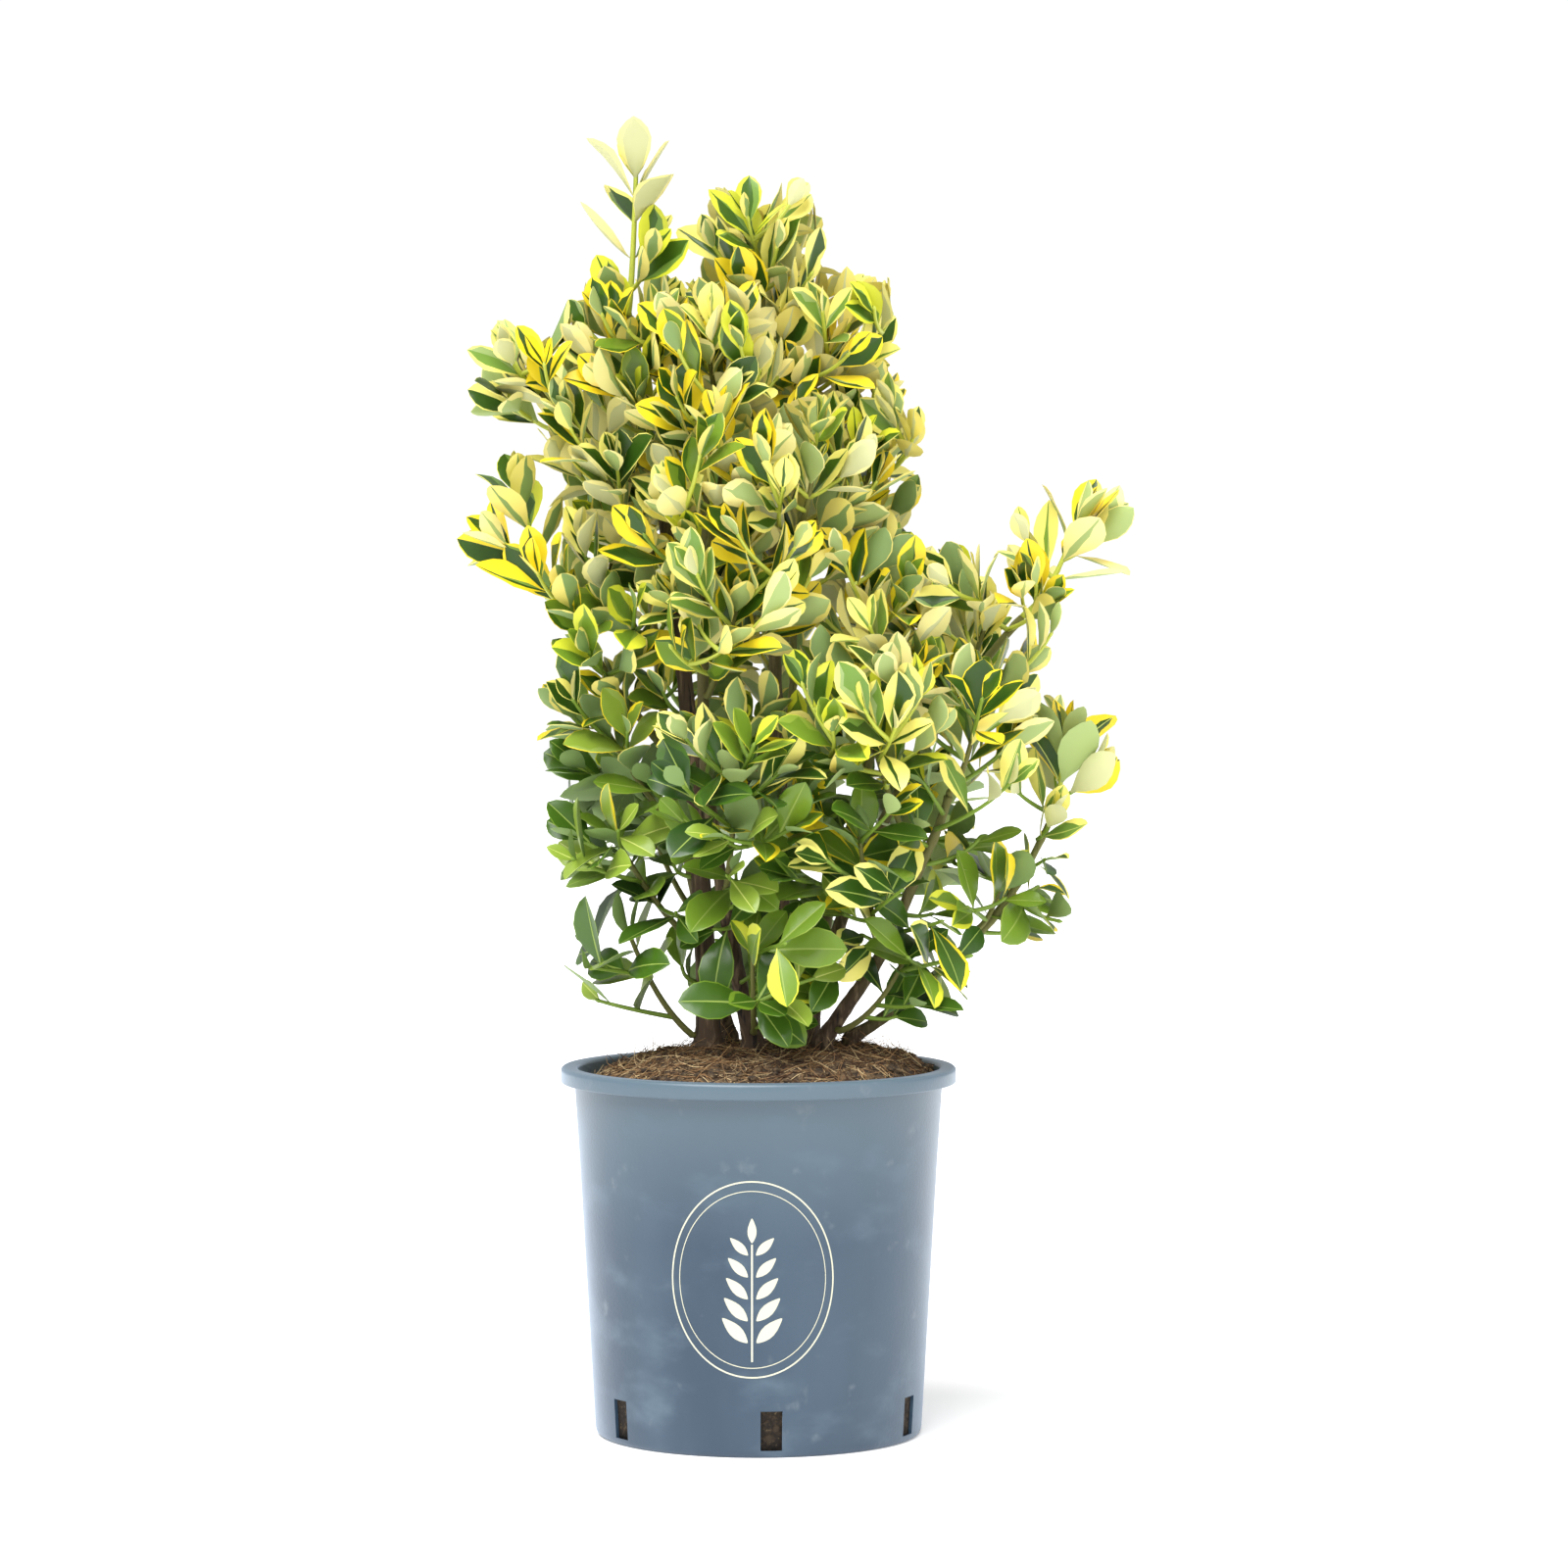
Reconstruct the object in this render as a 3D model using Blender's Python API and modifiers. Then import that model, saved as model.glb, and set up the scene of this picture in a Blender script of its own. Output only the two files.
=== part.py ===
"""Golden-edged Japanese spindle, an evergreen shrub of many stems, in a round nursery pot.

Metres, +Z up. The origin is the centre of the pot's flat underside, -Y is the side that faces the viewer,
and +X is the viewer's right. The pot is filled with potting mix, eight stems stand on the mix, four boughs
leave them, and each mass of foliage is one stem whose shoots carry pairs of leaves.
"""

import math
import random
from collections import namedtuple

import bmesh
import bpy
from mathutils import Matrix, Vector
from mathutils.bvhtree import BVHTree

# Gap between pieces that touch on the real plant, and the smallest gap that growth keeps from other pieces.
SEAT_GAP = 0.0003
CLEAR_GAP = 0.0006

# Nursery pot
POT_HEIGHT = 0.266
POT_FOOT_RADIUS = 0.1178
POT_NECK_RADIUS = 0.1332
POT_WALL = 0.0025
POT_FLOOR = 0.0035
RIM_RADIUS = 0.1429
RIM_HEIGHT = 0.0115
RIM_ROUND = 0.003
POT_STEPS = 40
SLOT_COUNT = 6
SLOT_FIRST_DEG = -85.3
SLOT_WIDTH = 0.0154
SLOT_HEIGHT = 0.0286
SLOT_CUTTER_DEPTH = 0.020
AXIS_MERGE = 0.00005
SLOT_FOOT = 0.0048

# Potting mix, mounded round the stems
MIX_TOP = 0.280
MIX_EDGE = 0.258
MIX_PLATEAU_RADIUS = 0.082
MIX_SHOULDER_RADIUS = 0.112
MIX_SHOULDER = 0.273

# Wood. A foot stands upright for FOOT_PLUMB, and what leaves a limb stands square to it for SEAT_PLUMB.
LIMB_POINTS = 8
LIMB_RESOLUTION = 1
LIMB_TAPER = 0.8
LIMB_WAVE = 0.0022
LIMB_WAVE_TURN = 9.0
FLARE_HEIGHT = 0.014
FLARE_SHARE = 0.45
FOOT_PLUMB = 0.004
SEAT_PLUMB = 0.003
LOOK_AHEAD = 0.02
OUTSIDE_RADII = 4.0

# Twigs. Of a pair, the first is for the sunny crown and the second for the shaded foot.
STEM_RADIUS = (0.0024, 0.0019)
STEM_RINGS = 4
STEM_LIFT = (-0.30, 0.10)
STEM_SAG = 0.35
STEM_VIA = 0.45
STEM_SEATS = (0.35, 0.45, 0.55, 0.65, 0.75, 0.85, 0.95)
STEM_SEAT_PLAY = 0.04
SHOOT_RADIUS = 0.0010
TWIG_SIDES = 3
SHOOT_TRIES = 240
SHOOT_CHOICES = 9
SHOOT_LOWEST = (-1.0, -0.45)
SHOOT_HIGHEST = (0.40, 1.0)
SHOOT_LONGEST = 0.066
SHOOT_RISE = (0.9, 0.25)
FEWEST_LEAVES = (4, 3, 3, 2)
PAIRS_ON_SHOOT = 3
FIRST_NODE = 0.0025
INTERNODE = 0.0135
BARE_SHARE = 0.2

# Leaves, in pairs from a shoot's tip backwards
LEAF_LENGTH = (0.061, 0.068)
LEAF_WIDTH = (0.037, 0.041)
LEAF_FITS = (1.0, 0.86, 0.72)
LEAF_SIZE_PLAY = 0.08
TIP_PAIR_SIZE = 0.88
LEAF_SPLAY_DEG = (36.0, 62.0)
SPLAY_STEP_DEG = 17.0
SPLAY_MOST_DEG = 100.0
SPLAY_PLAY_DEG = 8.0
TURN_PLAY_DEG = 20.0
SIDE_PLAY = 0.3
LEAF_DROOP = (0.0, 0.35)
DROOP_PLAY = (0.6, 1.3)
LEAF_NARROW = 0.36
LEAF_BROAD = 0.74
LEAF_THICKNESS = 0.0012
LEAF_SINK = 0.0002
LEAF_FREE_FROM = 0.09
SUN_HEIGHT = 0.56
SHADE_HEIGHT = 0.36

# The crown is every mass's own reach together. A mass may grow past its reach by OVERREACH inside the crown,
# up to the middle between itself and its neighbours. INTERLOCK past that middle, leaves of both masses may
# stand between each other without touching. The squarer the reach, the fewer the gaps between masses.
OVERREACH = 1.35
INTERLOCK = 0.014
SPACE_SQUARENESS = 3.4
NEIGHBOUR_DISTANCE = 0.2

# A joined mass is sound when it keeps this share of the volume of its twigs and leaves.
SOUND_SHARE = 0.85
GROWTH_ATTEMPTS = 6

# A mass with less than FULL_SHARE of its leaves grows again from another seed, GROWTH_CHOICES times at most.
FULL_SHARE = 0.75
GROWTH_CHOICES = 5
SEED_STEP = 1000

# A stem stands on the mix. start is its foot, via bends it and tip is its upper end.
Stem = namedtuple("Stem", "name start via tip foot_radius tip_radius")
STEMS = (
    Stem("main_stem", (-0.036, -0.004), (-0.046, -0.012, 0.583), (-0.093, 0.0, 0.806), 0.0082, 0.0034),
    Stem("centre_stem", (-0.004, -0.014), (-0.058, -0.052, 0.50), (-0.030, -0.036, 0.748), 0.0062, 0.0028),
    Stem("back_stem", (0.014, 0.026), (0.020, 0.066, 0.54), (0.003, 0.014, 0.808), 0.0066, 0.0028),
    Stem("right_stem", (0.046, -0.016), (0.110, -0.024, 0.375), (0.136, -0.034, 0.462), 0.0056, 0.0030),
    Stem("outer_right_stem", (0.066, 0.012), (0.168, 0.012, 0.345), (0.210, 0.012, 0.440), 0.0044, 0.0024),
    Stem("lobe_stem", (0.034, 0.008), (0.078, 0.024, 0.465), (0.190, 0.0, 0.590), 0.0058, 0.0026),
    Stem("left_back_stem", (-0.022, 0.036), (-0.064, 0.074, 0.43), (-0.083, 0.068, 0.640), 0.0054, 0.0026),
    Stem("right_back_stem", (0.038, 0.046), (0.056, 0.092, 0.43), (0.098, 0.088, 0.525), 0.0052, 0.0026),
)

# A bough leaves another limb at a share of its length.
Bough = namedtuple("Bough", "name parent share via tip foot_radius tip_radius")
BOUGHS = (
    Bough("wing_bough", "main_stem", 0.78, (-0.106, -0.010, 0.690), (-0.126, -0.010, 0.728), 0.0030, 0.0020),
    Bough("outrigger_bough", "main_stem", 0.44, (-0.110, -0.006, 0.54), (-0.136, -0.010, 0.604), 0.0032, 0.0020),
    Bough("shoulder_bough", "back_stem", 0.62, (0.058, 0.022, 0.610), (0.069, 0.004, 0.664), 0.0032, 0.0021),
    Bough("heart_bough", "back_stem", 0.48, (0.030, -0.010, 0.585), (0.030, -0.048, 0.652), 0.0032, 0.0021),
)

# A mass of foliage fills the space of half-size reach round its centre, and hangs on a limb at a share of
# the limb's length, where 1 is the limb's tip. leaves is how many it aims for.
Mass = namedtuple("Mass", "name limb share centre reach leaves tint")
MASSES = (
    Mass("crown_spire", "main_stem", 1.0, (-0.088, 0.000, 0.886), (0.040, 0.038, 0.066), 12, "gold"),
    Mass("crown_peak", "back_stem", 1.0, (0.003, 0.010, 0.858), (0.048, 0.046, 0.050), 15, "gold"),
    Mass("cap_left", "main_stem", 0.90, (-0.094, -0.025, 0.792), (0.046, 0.046, 0.046), 15, "gold"),
    Mass("cap_front", "centre_stem", 1.0, (-0.034, -0.062, 0.786), (0.046, 0.048, 0.049), 16, "gold"),
    Mass("cap_right", "back_stem", 0.84, (0.050, 0.006, 0.793), (0.053, 0.052, 0.049), 16, "gold"),
    Mass("cap_back", "back_stem", 0.80, (-0.026, 0.080, 0.792), (0.062, 0.058, 0.050), 16, "gold"),
    Mass("wing_left", "wing_bough", 1.0, (-0.157, -0.010, 0.764), (0.053, 0.048, 0.041), 15, "gold"),
    Mass("shoulder_right", "shoulder_bough", 1.0, (0.080, -0.004, 0.713), (0.042, 0.050, 0.058), 16, "gold"),
    Mass("heart_left", "main_stem", 0.68, (-0.108, -0.030, 0.703), (0.050, 0.050, 0.046), 15, "gold"),
    Mass("heart_front", "centre_stem", 0.80, (-0.026, -0.090, 0.704), (0.050, 0.050, 0.046), 16, "gold"),
    Mass("heart_right", "heart_bough", 1.0, (0.038, -0.072, 0.701), (0.047, 0.050, 0.048), 15, "gold"),
    Mass("heart_back", "back_stem", 0.66, (0.020, 0.098, 0.705), (0.066, 0.058, 0.055), 16, "gold"),
    Mass("heart_back_left", "left_back_stem", 1.0, (-0.086, 0.075, 0.697), (0.060, 0.058, 0.052), 16, "gold"),
    Mass("outrigger_left", "outrigger_bough", 1.0, (-0.172, -0.010, 0.653), (0.047, 0.042, 0.055), 13, "gold"),
    Mass("waist_left", "main_stem", 0.56, (-0.104, -0.030, 0.611), (0.050, 0.050, 0.046), 15, "mixed"),
    Mass("waist_front", "centre_stem", 0.62, (-0.015, -0.087, 0.612), (0.053, 0.050, 0.050), 16, "gold"),
    Mass("waist_back", "left_back_stem", 0.72, (-0.024, 0.100, 0.597), (0.068, 0.058, 0.054), 16, "mixed"),
    Mass("lobe_spire", "lobe_stem", 1.0, (0.228, 0.000, 0.650), (0.049, 0.042, 0.052), 13, "gold"),
    Mass("lobe_top_inner", "lobe_stem", 0.62, (0.080, -0.040, 0.606), (0.046, 0.050, 0.050), 14, "gold"),
    Mass("lobe_top_outer", "lobe_stem", 0.84, (0.162, -0.020, 0.597), (0.058, 0.052, 0.048), 16, "gold"),
    Mass("lobe_back", "right_back_stem", 1.0, (0.124, 0.088, 0.570), (0.064, 0.056, 0.056), 16, "mixed"),
    Mass("lobe_front", "right_stem", 0.76, (0.076, -0.092, 0.532), (0.050, 0.050, 0.048), 15, "gold"),
    Mass("lobe_outer", "right_stem", 1.0, (0.152, -0.050, 0.514), (0.052, 0.050, 0.053), 16, "mixed"),
    Mass("lobe_tip", "outer_right_stem", 1.0, (0.222, 0.012, 0.490), (0.043, 0.042, 0.054), 14, "mixed"),
    Mass("lobe_low", "outer_right_stem", 0.60, (0.176, 0.006, 0.397), (0.060, 0.052, 0.048), 14, "green"),
    Mass("lobe_low_back", "right_back_stem", 0.60, (0.116, 0.088, 0.436), (0.060, 0.054, 0.052), 14, "green"),
    Mass("low_left_upper", "main_stem", 0.36, (-0.108, 0.000, 0.517), (0.053, 0.050, 0.049), 15, "mixed"),
    Mass("low_left_mid", "main_stem", 0.25, (-0.102, -0.012, 0.433), (0.053, 0.050, 0.042), 14, "green"),
    Mass("low_left_foot", "main_stem", 0.15, (-0.091, -0.022, 0.354), (0.050, 0.048, 0.046), 14, "green"),
    Mass("low_left_back", "left_back_stem", 0.40, (-0.084, 0.082, 0.455), (0.060, 0.056, 0.056), 15, "green"),
    Mass("belly_front", "centre_stem", 0.36, (-0.015, -0.096, 0.482), (0.064, 0.050, 0.053), 16, "mixed"),
    Mass("belly_right", "right_stem", 0.48, (0.072, -0.074, 0.434), (0.056, 0.050, 0.048), 15, "green"),
    Mass("belly_back", "back_stem", 0.30, (0.022, 0.104, 0.474), (0.062, 0.056, 0.060), 15, "green"),
    Mass("foot_front", "centre_stem", 0.16, (-0.004, -0.072, 0.346), (0.060, 0.052, 0.060), 16, "green"),
    Mass("foot_right", "right_stem", 0.20, (0.104, -0.044, 0.340), (0.052, 0.048, 0.048), 14, "green"),
    Mass("foot_back", "back_stem", 0.17, (0.000, 0.102, 0.350), (0.064, 0.054, 0.056), 14, "green"),
)

# A twig is a chain of (point, radius). A leaf has its base, its length axis, its upper side and its size.
Leaf = namedtuple("Leaf", "base axis upper length width")

# Base colour, roughness
FINISHES = {
    "pot_plastic": ((0.195, 0.250, 0.315), 0.42),
    "potting_mix": ((0.090, 0.058, 0.034), 0.95),
    "bark": ((0.115, 0.078, 0.048), 0.90),
    "leaf_gold": ((0.640, 0.560, 0.110), 0.45),
    "leaf_mixed": ((0.330, 0.400, 0.100), 0.45),
    "leaf_green": ((0.090, 0.190, 0.035), 0.40),
}


def clear_scene():
    """Remove whatever the start-up file holds."""
    for obj in list(bpy.data.objects):
        bpy.data.objects.remove(obj)


def make_materials():
    """One Principled material for each finish."""
    made = {}
    for name, (colour, roughness) in FINISHES.items():
        material = bpy.data.materials.new(name)
        material.use_nodes = True
        shader = material.node_tree.nodes["Principled BSDF"]
        shader.inputs["Base Color"].default_value = (*colour, 1.0)
        shader.inputs["Roughness"].default_value = roughness
        shader.inputs["Metallic"].default_value = 0.0
        made[name] = material
    return made


def new_collection(name):
    """An empty collection linked to the scene."""
    collection = bpy.data.collections.new(name)
    bpy.context.scene.collection.children.link(collection)
    return collection


def object_from_bmesh(shape, name, collection, material=None):
    """Turn a bmesh into an object and free the bmesh."""
    mesh = bpy.data.meshes.new(name)
    shape.to_mesh(mesh)
    shape.free()
    obj = bpy.data.objects.new(name, mesh)
    if material is not None:
        mesh.materials.append(material)
    collection.objects.link(obj)
    return obj


def tree_of(obj):
    """A search tree of the object's evaluated triangles, in world space."""
    graph = bpy.context.evaluated_depsgraph_get()
    mesh = bpy.data.meshes.new_from_object(obj.evaluated_get(graph))
    mesh.calc_loop_triangles()
    points = [obj.matrix_world @ v.co for v in mesh.vertices]
    faces = [tuple(t.vertices) for t in mesh.loop_triangles]
    bpy.data.meshes.remove(mesh)
    return BVHTree.FromPolygons(points, faces)


def turned(name, profile, collection, material):
    """A solid of revolution about Z from (radius, height) points that run down the outer side."""
    shape = bmesh.new()
    corners = [shape.verts.new((radius, 0.0, height)) for radius, height in profile]
    for first, second in zip(corners, corners[1:]):
        shape.edges.new((first, second))
    obj = object_from_bmesh(shape, name, collection, material)
    screw = obj.modifiers.new("turn", "SCREW")
    screw.axis = "Z"
    screw.steps = POT_STEPS
    screw.render_steps = POT_STEPS
    screw.use_merge_vertices = True
    screw.merge_threshold = AXIS_MERGE
    screw.use_smooth_shade = True
    return obj


def pot_outer_radius(height):
    """Outer radius of the tapered wall at a height."""
    return POT_FOOT_RADIUS + (POT_NECK_RADIUS - POT_FOOT_RADIUS) * height / POT_HEIGHT


def make_pot(collection, cutters, material):
    """The tapered shell with its rolled rim, flat underside and six drain slots."""
    rim_foot = POT_HEIGHT - RIM_HEIGHT
    inner_foot = pot_outer_radius(POT_FLOOR) - POT_WALL
    inner_neck = pot_outer_radius(POT_HEIGHT) - POT_WALL
    profile = [
        (0.0, POT_FLOOR),
        (inner_foot, POT_FLOOR),
        (inner_neck, POT_HEIGHT - RIM_ROUND),
        (inner_neck + RIM_ROUND, POT_HEIGHT),
        (RIM_RADIUS - RIM_ROUND, POT_HEIGHT),
        (RIM_RADIUS, POT_HEIGHT - RIM_ROUND),
        (RIM_RADIUS, rim_foot + RIM_ROUND),
        (RIM_RADIUS - RIM_ROUND, rim_foot),
        (pot_outer_radius(rim_foot), rim_foot),
        (POT_FOOT_RADIUS, RIM_ROUND),
        (POT_FOOT_RADIUS - RIM_ROUND, 0.0),
        (0.0, 0.0),
    ]
    pot = turned("pot", profile, collection, material)
    slots = bmesh.new()
    for index in range(SLOT_COUNT):
        angle = math.radians(SLOT_FIRST_DEG + index * 360.0 / SLOT_COUNT)
        place = Matrix.Rotation(angle, 4, "Z") @ Matrix.Translation(
            (POT_FOOT_RADIUS, 0.0, SLOT_FOOT + SLOT_HEIGHT / 2)
        )
        size = Matrix.Diagonal((SLOT_CUTTER_DEPTH, SLOT_WIDTH, SLOT_HEIGHT, 1.0))
        bmesh.ops.create_cube(slots, size=1.0, matrix=place @ size)
    cutter = object_from_bmesh(slots, "slot_cutter", cutters)
    cutter.hide_render = True
    cutter.display_type = "WIRE"
    cut = pot.modifiers.new("slots", "BOOLEAN")
    cut.operation = "DIFFERENCE"
    cut.solver = "EXACT"
    cut.object = cutter
    return pot


def make_mix(collection, material):
    """The potting mix that fills the pot and rises to a level top under the stems."""
    low = POT_FLOOR + SEAT_GAP
    inner_low = pot_outer_radius(low) - POT_WALL - SEAT_GAP
    inner_high = pot_outer_radius(MIX_EDGE) - POT_WALL - SEAT_GAP
    profile = [
        (0.0, MIX_TOP),
        (MIX_PLATEAU_RADIUS, MIX_TOP),
        (MIX_SHOULDER_RADIUS, MIX_SHOULDER),
        (inner_high, MIX_EDGE),
        (inner_low, low),
        (0.0, low),
    ]
    return turned("potting_mix", profile, collection, material)


def bezier(start, via, tip, share):
    """A point of the quadratic curve from start to tip that via bends."""
    rest = 1.0 - share
    return start * (rest * rest) + via * (2 * rest * share) + tip * (share * share)


def limb_path(start, plumb, via, tip, first_radius, tip_radius, flare, wave_seed):
    """Points and radii of one tapering limb, straight along plumb at first and slightly wavy after."""
    rng = random.Random(wave_seed)
    phase = rng.uniform(0.0, 2 * math.pi)
    turn = rng.uniform(0.0, 2 * math.pi)
    side = Vector((math.cos(turn), math.sin(turn), 0.0))
    onward = start + plumb
    path = [(start, first_radius * (1.0 + flare))]
    height = plumb.length
    for index in range(LIMB_POINTS - 1):
        share = index / (LIMB_POINTS - 2)
        point = bezier(onward, via, tip, share)
        calm = math.sin(math.pi * share)
        point = point + side * (LIMB_WAVE * calm * math.sin(phase + LIMB_WAVE_TURN * share))
        radius = first_radius + (tip_radius - first_radius) * share**LIMB_TAPER
        near = math.exp(-(height + (point - onward).length) / FLARE_HEIGHT)
        path.append((point, radius * (1.0 + flare * near)))
    return path


def curve_tube(name, path, collection, material, extra=0.0):
    """A round bar along a path, as a curve with a bevel and closed ends."""
    data = bpy.data.curves.new(name, "CURVE")
    data.dimensions = "3D"
    data.bevel_depth = 1.0
    data.bevel_resolution = LIMB_RESOLUTION
    data.use_fill_caps = True
    spline = data.splines.new("POLY")
    spline.points.add(len(path) - 1)
    for target, (point, radius) in zip(spline.points, path):
        target.co = (*point, 1.0)
        target.radius = radius + extra
    if material is not None:
        data.materials.append(material)
    obj = bpy.data.objects.new(name, data)
    collection.objects.link(obj)
    return obj


def guard_tree(path, extra):
    """A search tree of the same bar made thicker, which growth keeps out of."""
    scratch = curve_tube("guard", path, bpy.context.scene.collection, None, extra)
    tree = tree_of(scratch)
    bpy.data.objects.remove(scratch)
    return tree


def point_along(path, share):
    """Centre and radius at a share of the path's length in points."""
    place = min(share, 1.0) * (len(path) - 1)
    index = min(int(place), len(path) - 2)
    (first, first_radius), (second, second_radius) = path[index], path[index + 1]
    blend = place - index
    return first.lerp(second, blend), first_radius + (second_radius - first_radius) * blend


def seat_on(limb, share, towards):
    """Where a twig or bough leaves a limb: a point SEAT_GAP off the surface, and the way it faces."""
    path, tree = limb
    if share >= 1.0:
        end, before = path[-1][0], path[-2][0]
        way = (end - before).normalized()
        return end + way * SEAT_GAP, way
    centre, radius = point_along(path, share)
    ahead, _ = point_along(path, min(share + LOOK_AHEAD, 1.0))
    run = (ahead - centre).normalized()
    way = towards - centre
    way = (way - run * way.dot(run)).normalized()
    hit, normal, _, _ = tree.ray_cast(centre + way * radius * OUTSIDE_RADII, -way)
    return hit + normal * SEAT_GAP, normal


def make_limbs(collection, material):
    """Every stem and bough. Returns each limb's path with a search tree of its surface."""
    limbs = {}
    for number, stem in enumerate(STEMS):
        foot = Vector((*stem.start, MIX_TOP + SEAT_GAP))
        plumb = Vector((0.0, 0.0, FOOT_PLUMB))
        path = limb_path(
            foot, plumb, Vector(stem.via), Vector(stem.tip), stem.foot_radius, stem.tip_radius,
            FLARE_SHARE, number,
        )
        bar = curve_tube(stem.name, path, collection, material)
        bpy.context.view_layer.update()
        limbs[stem.name] = (path, tree_of(bar))
    for number, bough in enumerate(BOUGHS):
        start, way = seat_on(limbs[bough.parent], bough.share, Vector(bough.via))
        path = limb_path(
            start, way * SEAT_PLUMB, Vector(bough.via), Vector(bough.tip), bough.foot_radius,
            bough.tip_radius, 0.0, len(STEMS) + number,
        )
        bar = curve_tube(bough.name, path, collection, material)
        bpy.context.view_layer.update()
        limbs[bough.name] = (path, tree_of(bar))
    return limbs


def shade_at(height):
    """0 in the sunny crown, 1 at the shaded foot of the plant."""
    share = (SUN_HEIGHT - height) / (SUN_HEIGHT - SHADE_HEIGHT)
    return max(0.0, min(1.0, share))


def mixed(pair, share):
    """The value between a pair at a share."""
    return pair[0] + (pair[1] - pair[0]) * share


def scaled(vector, sizes):
    """The vector stretched by a size along each axis."""
    return Vector((vector[0] * sizes[0], vector[1] * sizes[1], vector[2] * sizes[2]))


def stem_of_mass(mass, root, way):
    """The mass's own stem, from its seat on a limb up into the space."""
    centre = Vector(mass.centre)
    tip = centre + scaled((0.0, 0.0, mixed(STEM_LIFT, shade_at(centre.z))), mass.reach)
    onward = root + way * SEAT_PLUMB
    via = centre + (onward - centre) * STEM_VIA - scaled((0.0, 0.0, STEM_SAG), mass.reach)
    chain = [(root, STEM_RADIUS[0])]
    for index in range(STEM_RINGS):
        share = index / (STEM_RINGS - 1)
        chain.append((bezier(onward, via, tip, share), mixed(STEM_RADIUS, share)))
    return chain


def shoot_to(tip, stem, centre, rng):
    """A side shoot that leaves the stem below its tip, where tip is a point of the mass's space."""
    shade = shade_at(tip.z)
    flat = Vector((tip.x - centre.x, tip.y - centre.y, 0.0))
    wanted = tip.z - flat.length * mixed(SHOOT_RISE, shade)
    share = min(STEM_SEATS, key=lambda part: abs(point_along(stem, part)[0].z - wanted))
    start, _ = point_along(stem, share + rng.uniform(-STEM_SEAT_PLAY, STEM_SEAT_PLAY))
    return [(start, SHOOT_RADIUS), (tip, SHOOT_RADIUS)]


def leaves_of_shoot(chain, sideways, rng):
    """Opposite pairs of leaves from the shoot's tip backwards, the first pair along sideways.

    Each pair stands square to the one before it, and splays out further the lower it is.
    """
    length = sum((b[0] - a[0]).length for a, b in zip(chain, chain[1:]))
    splay_play, turn_play = math.radians(SPLAY_PLAY_DEG), math.radians(TURN_PLAY_DEG)
    leaves = []
    for pair in range(PAIRS_ON_SHOOT):
        share = 1.0 - (FIRST_NODE + pair * INTERNODE) / length
        if share < BARE_SHARE:
            break
        node, _ = point_along(chain, share)
        before, _ = point_along(chain, share - BARE_SHARE / 2)
        run = (node - before).normalized()
        level = (sideways - run * run.dot(sideways)).normalized()
        turn = pair * math.pi / 2 + rng.uniform(-turn_play, turn_play)
        shade = shade_at(node.z)
        splay = math.radians(mixed(LEAF_SPLAY_DEG, shade) + SPLAY_STEP_DEG * pair)
        for side in (0.0, math.pi):
            away = Matrix.Rotation(turn + side, 3, run) @ level
            angle = min(splay + rng.uniform(-splay_play, splay_play), math.radians(SPLAY_MOST_DEG))
            axis = run * math.cos(angle) + away * math.sin(angle)
            axis.z -= mixed(LEAF_DROOP, shade) * rng.uniform(*DROOP_PLAY)
            axis.normalize()
            upper = run - axis * run.dot(axis)
            upper = (Matrix.Rotation(rng.uniform(-turn_play, turn_play), 3, axis) @ upper).normalized()
            size = TIP_PAIR_SIZE if pair == 0 else 1.0
            size *= rng.uniform(1.0 - LEAF_SIZE_PLAY, 1.0 + LEAF_SIZE_PLAY)
            length_now, width_now = mixed(LEAF_LENGTH, shade) * size, mixed(LEAF_WIDTH, shade) * size
            leaves.append(Leaf(node - axis * LEAF_SINK, axis, upper, length_now, width_now))
    return leaves


def leaf_frame(leaf):
    """Matrix whose X is the leaf's length, Z its upper side, at its base."""
    side = leaf.upper.cross(leaf.axis).normalized()
    frame = Matrix((leaf.axis, side, leaf.upper)).transposed().to_4x4()
    frame.translation = leaf.base
    return frame


def leaf_corners(leaf):
    """The leaf's six outline points, turn about on its upper and its lower side, by sphere corner."""
    near, far = LEAF_NARROW * leaf.length, LEAF_BROAD * leaf.length
    half, thick = leaf.width / 2, LEAF_THICKNESS / 2
    frame = leaf_frame(leaf)
    return {
        (-1, 0, 0): frame @ Vector((0.0, 0.0, thick)),
        (1, 0, 0): frame @ Vector((leaf.length, 0.0, -thick)),
        (0, -1, 0): frame @ Vector((far, -half, thick)),
        (0, 1, 0): frame @ Vector((near, half, -thick)),
        (0, 0, 1): frame @ Vector((far, half, thick)),
        (0, 0, -1): frame @ Vector((near, -half, -thick)),
    }


def leaf_bmesh(leaf):
    """A leaf of eight faces: the coarsest sphere, its corners moved to the leaf's outline."""
    corners = leaf_corners(leaf)
    shape = bmesh.new()
    bmesh.ops.create_uvsphere(shape, u_segments=4, v_segments=2, radius=1.0)
    for corner in shape.verts:
        corner.co = corners[tuple(round(value) for value in corner.co)]
    bmesh.ops.recalc_face_normals(shape, faces=shape.faces)
    return shape


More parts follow.
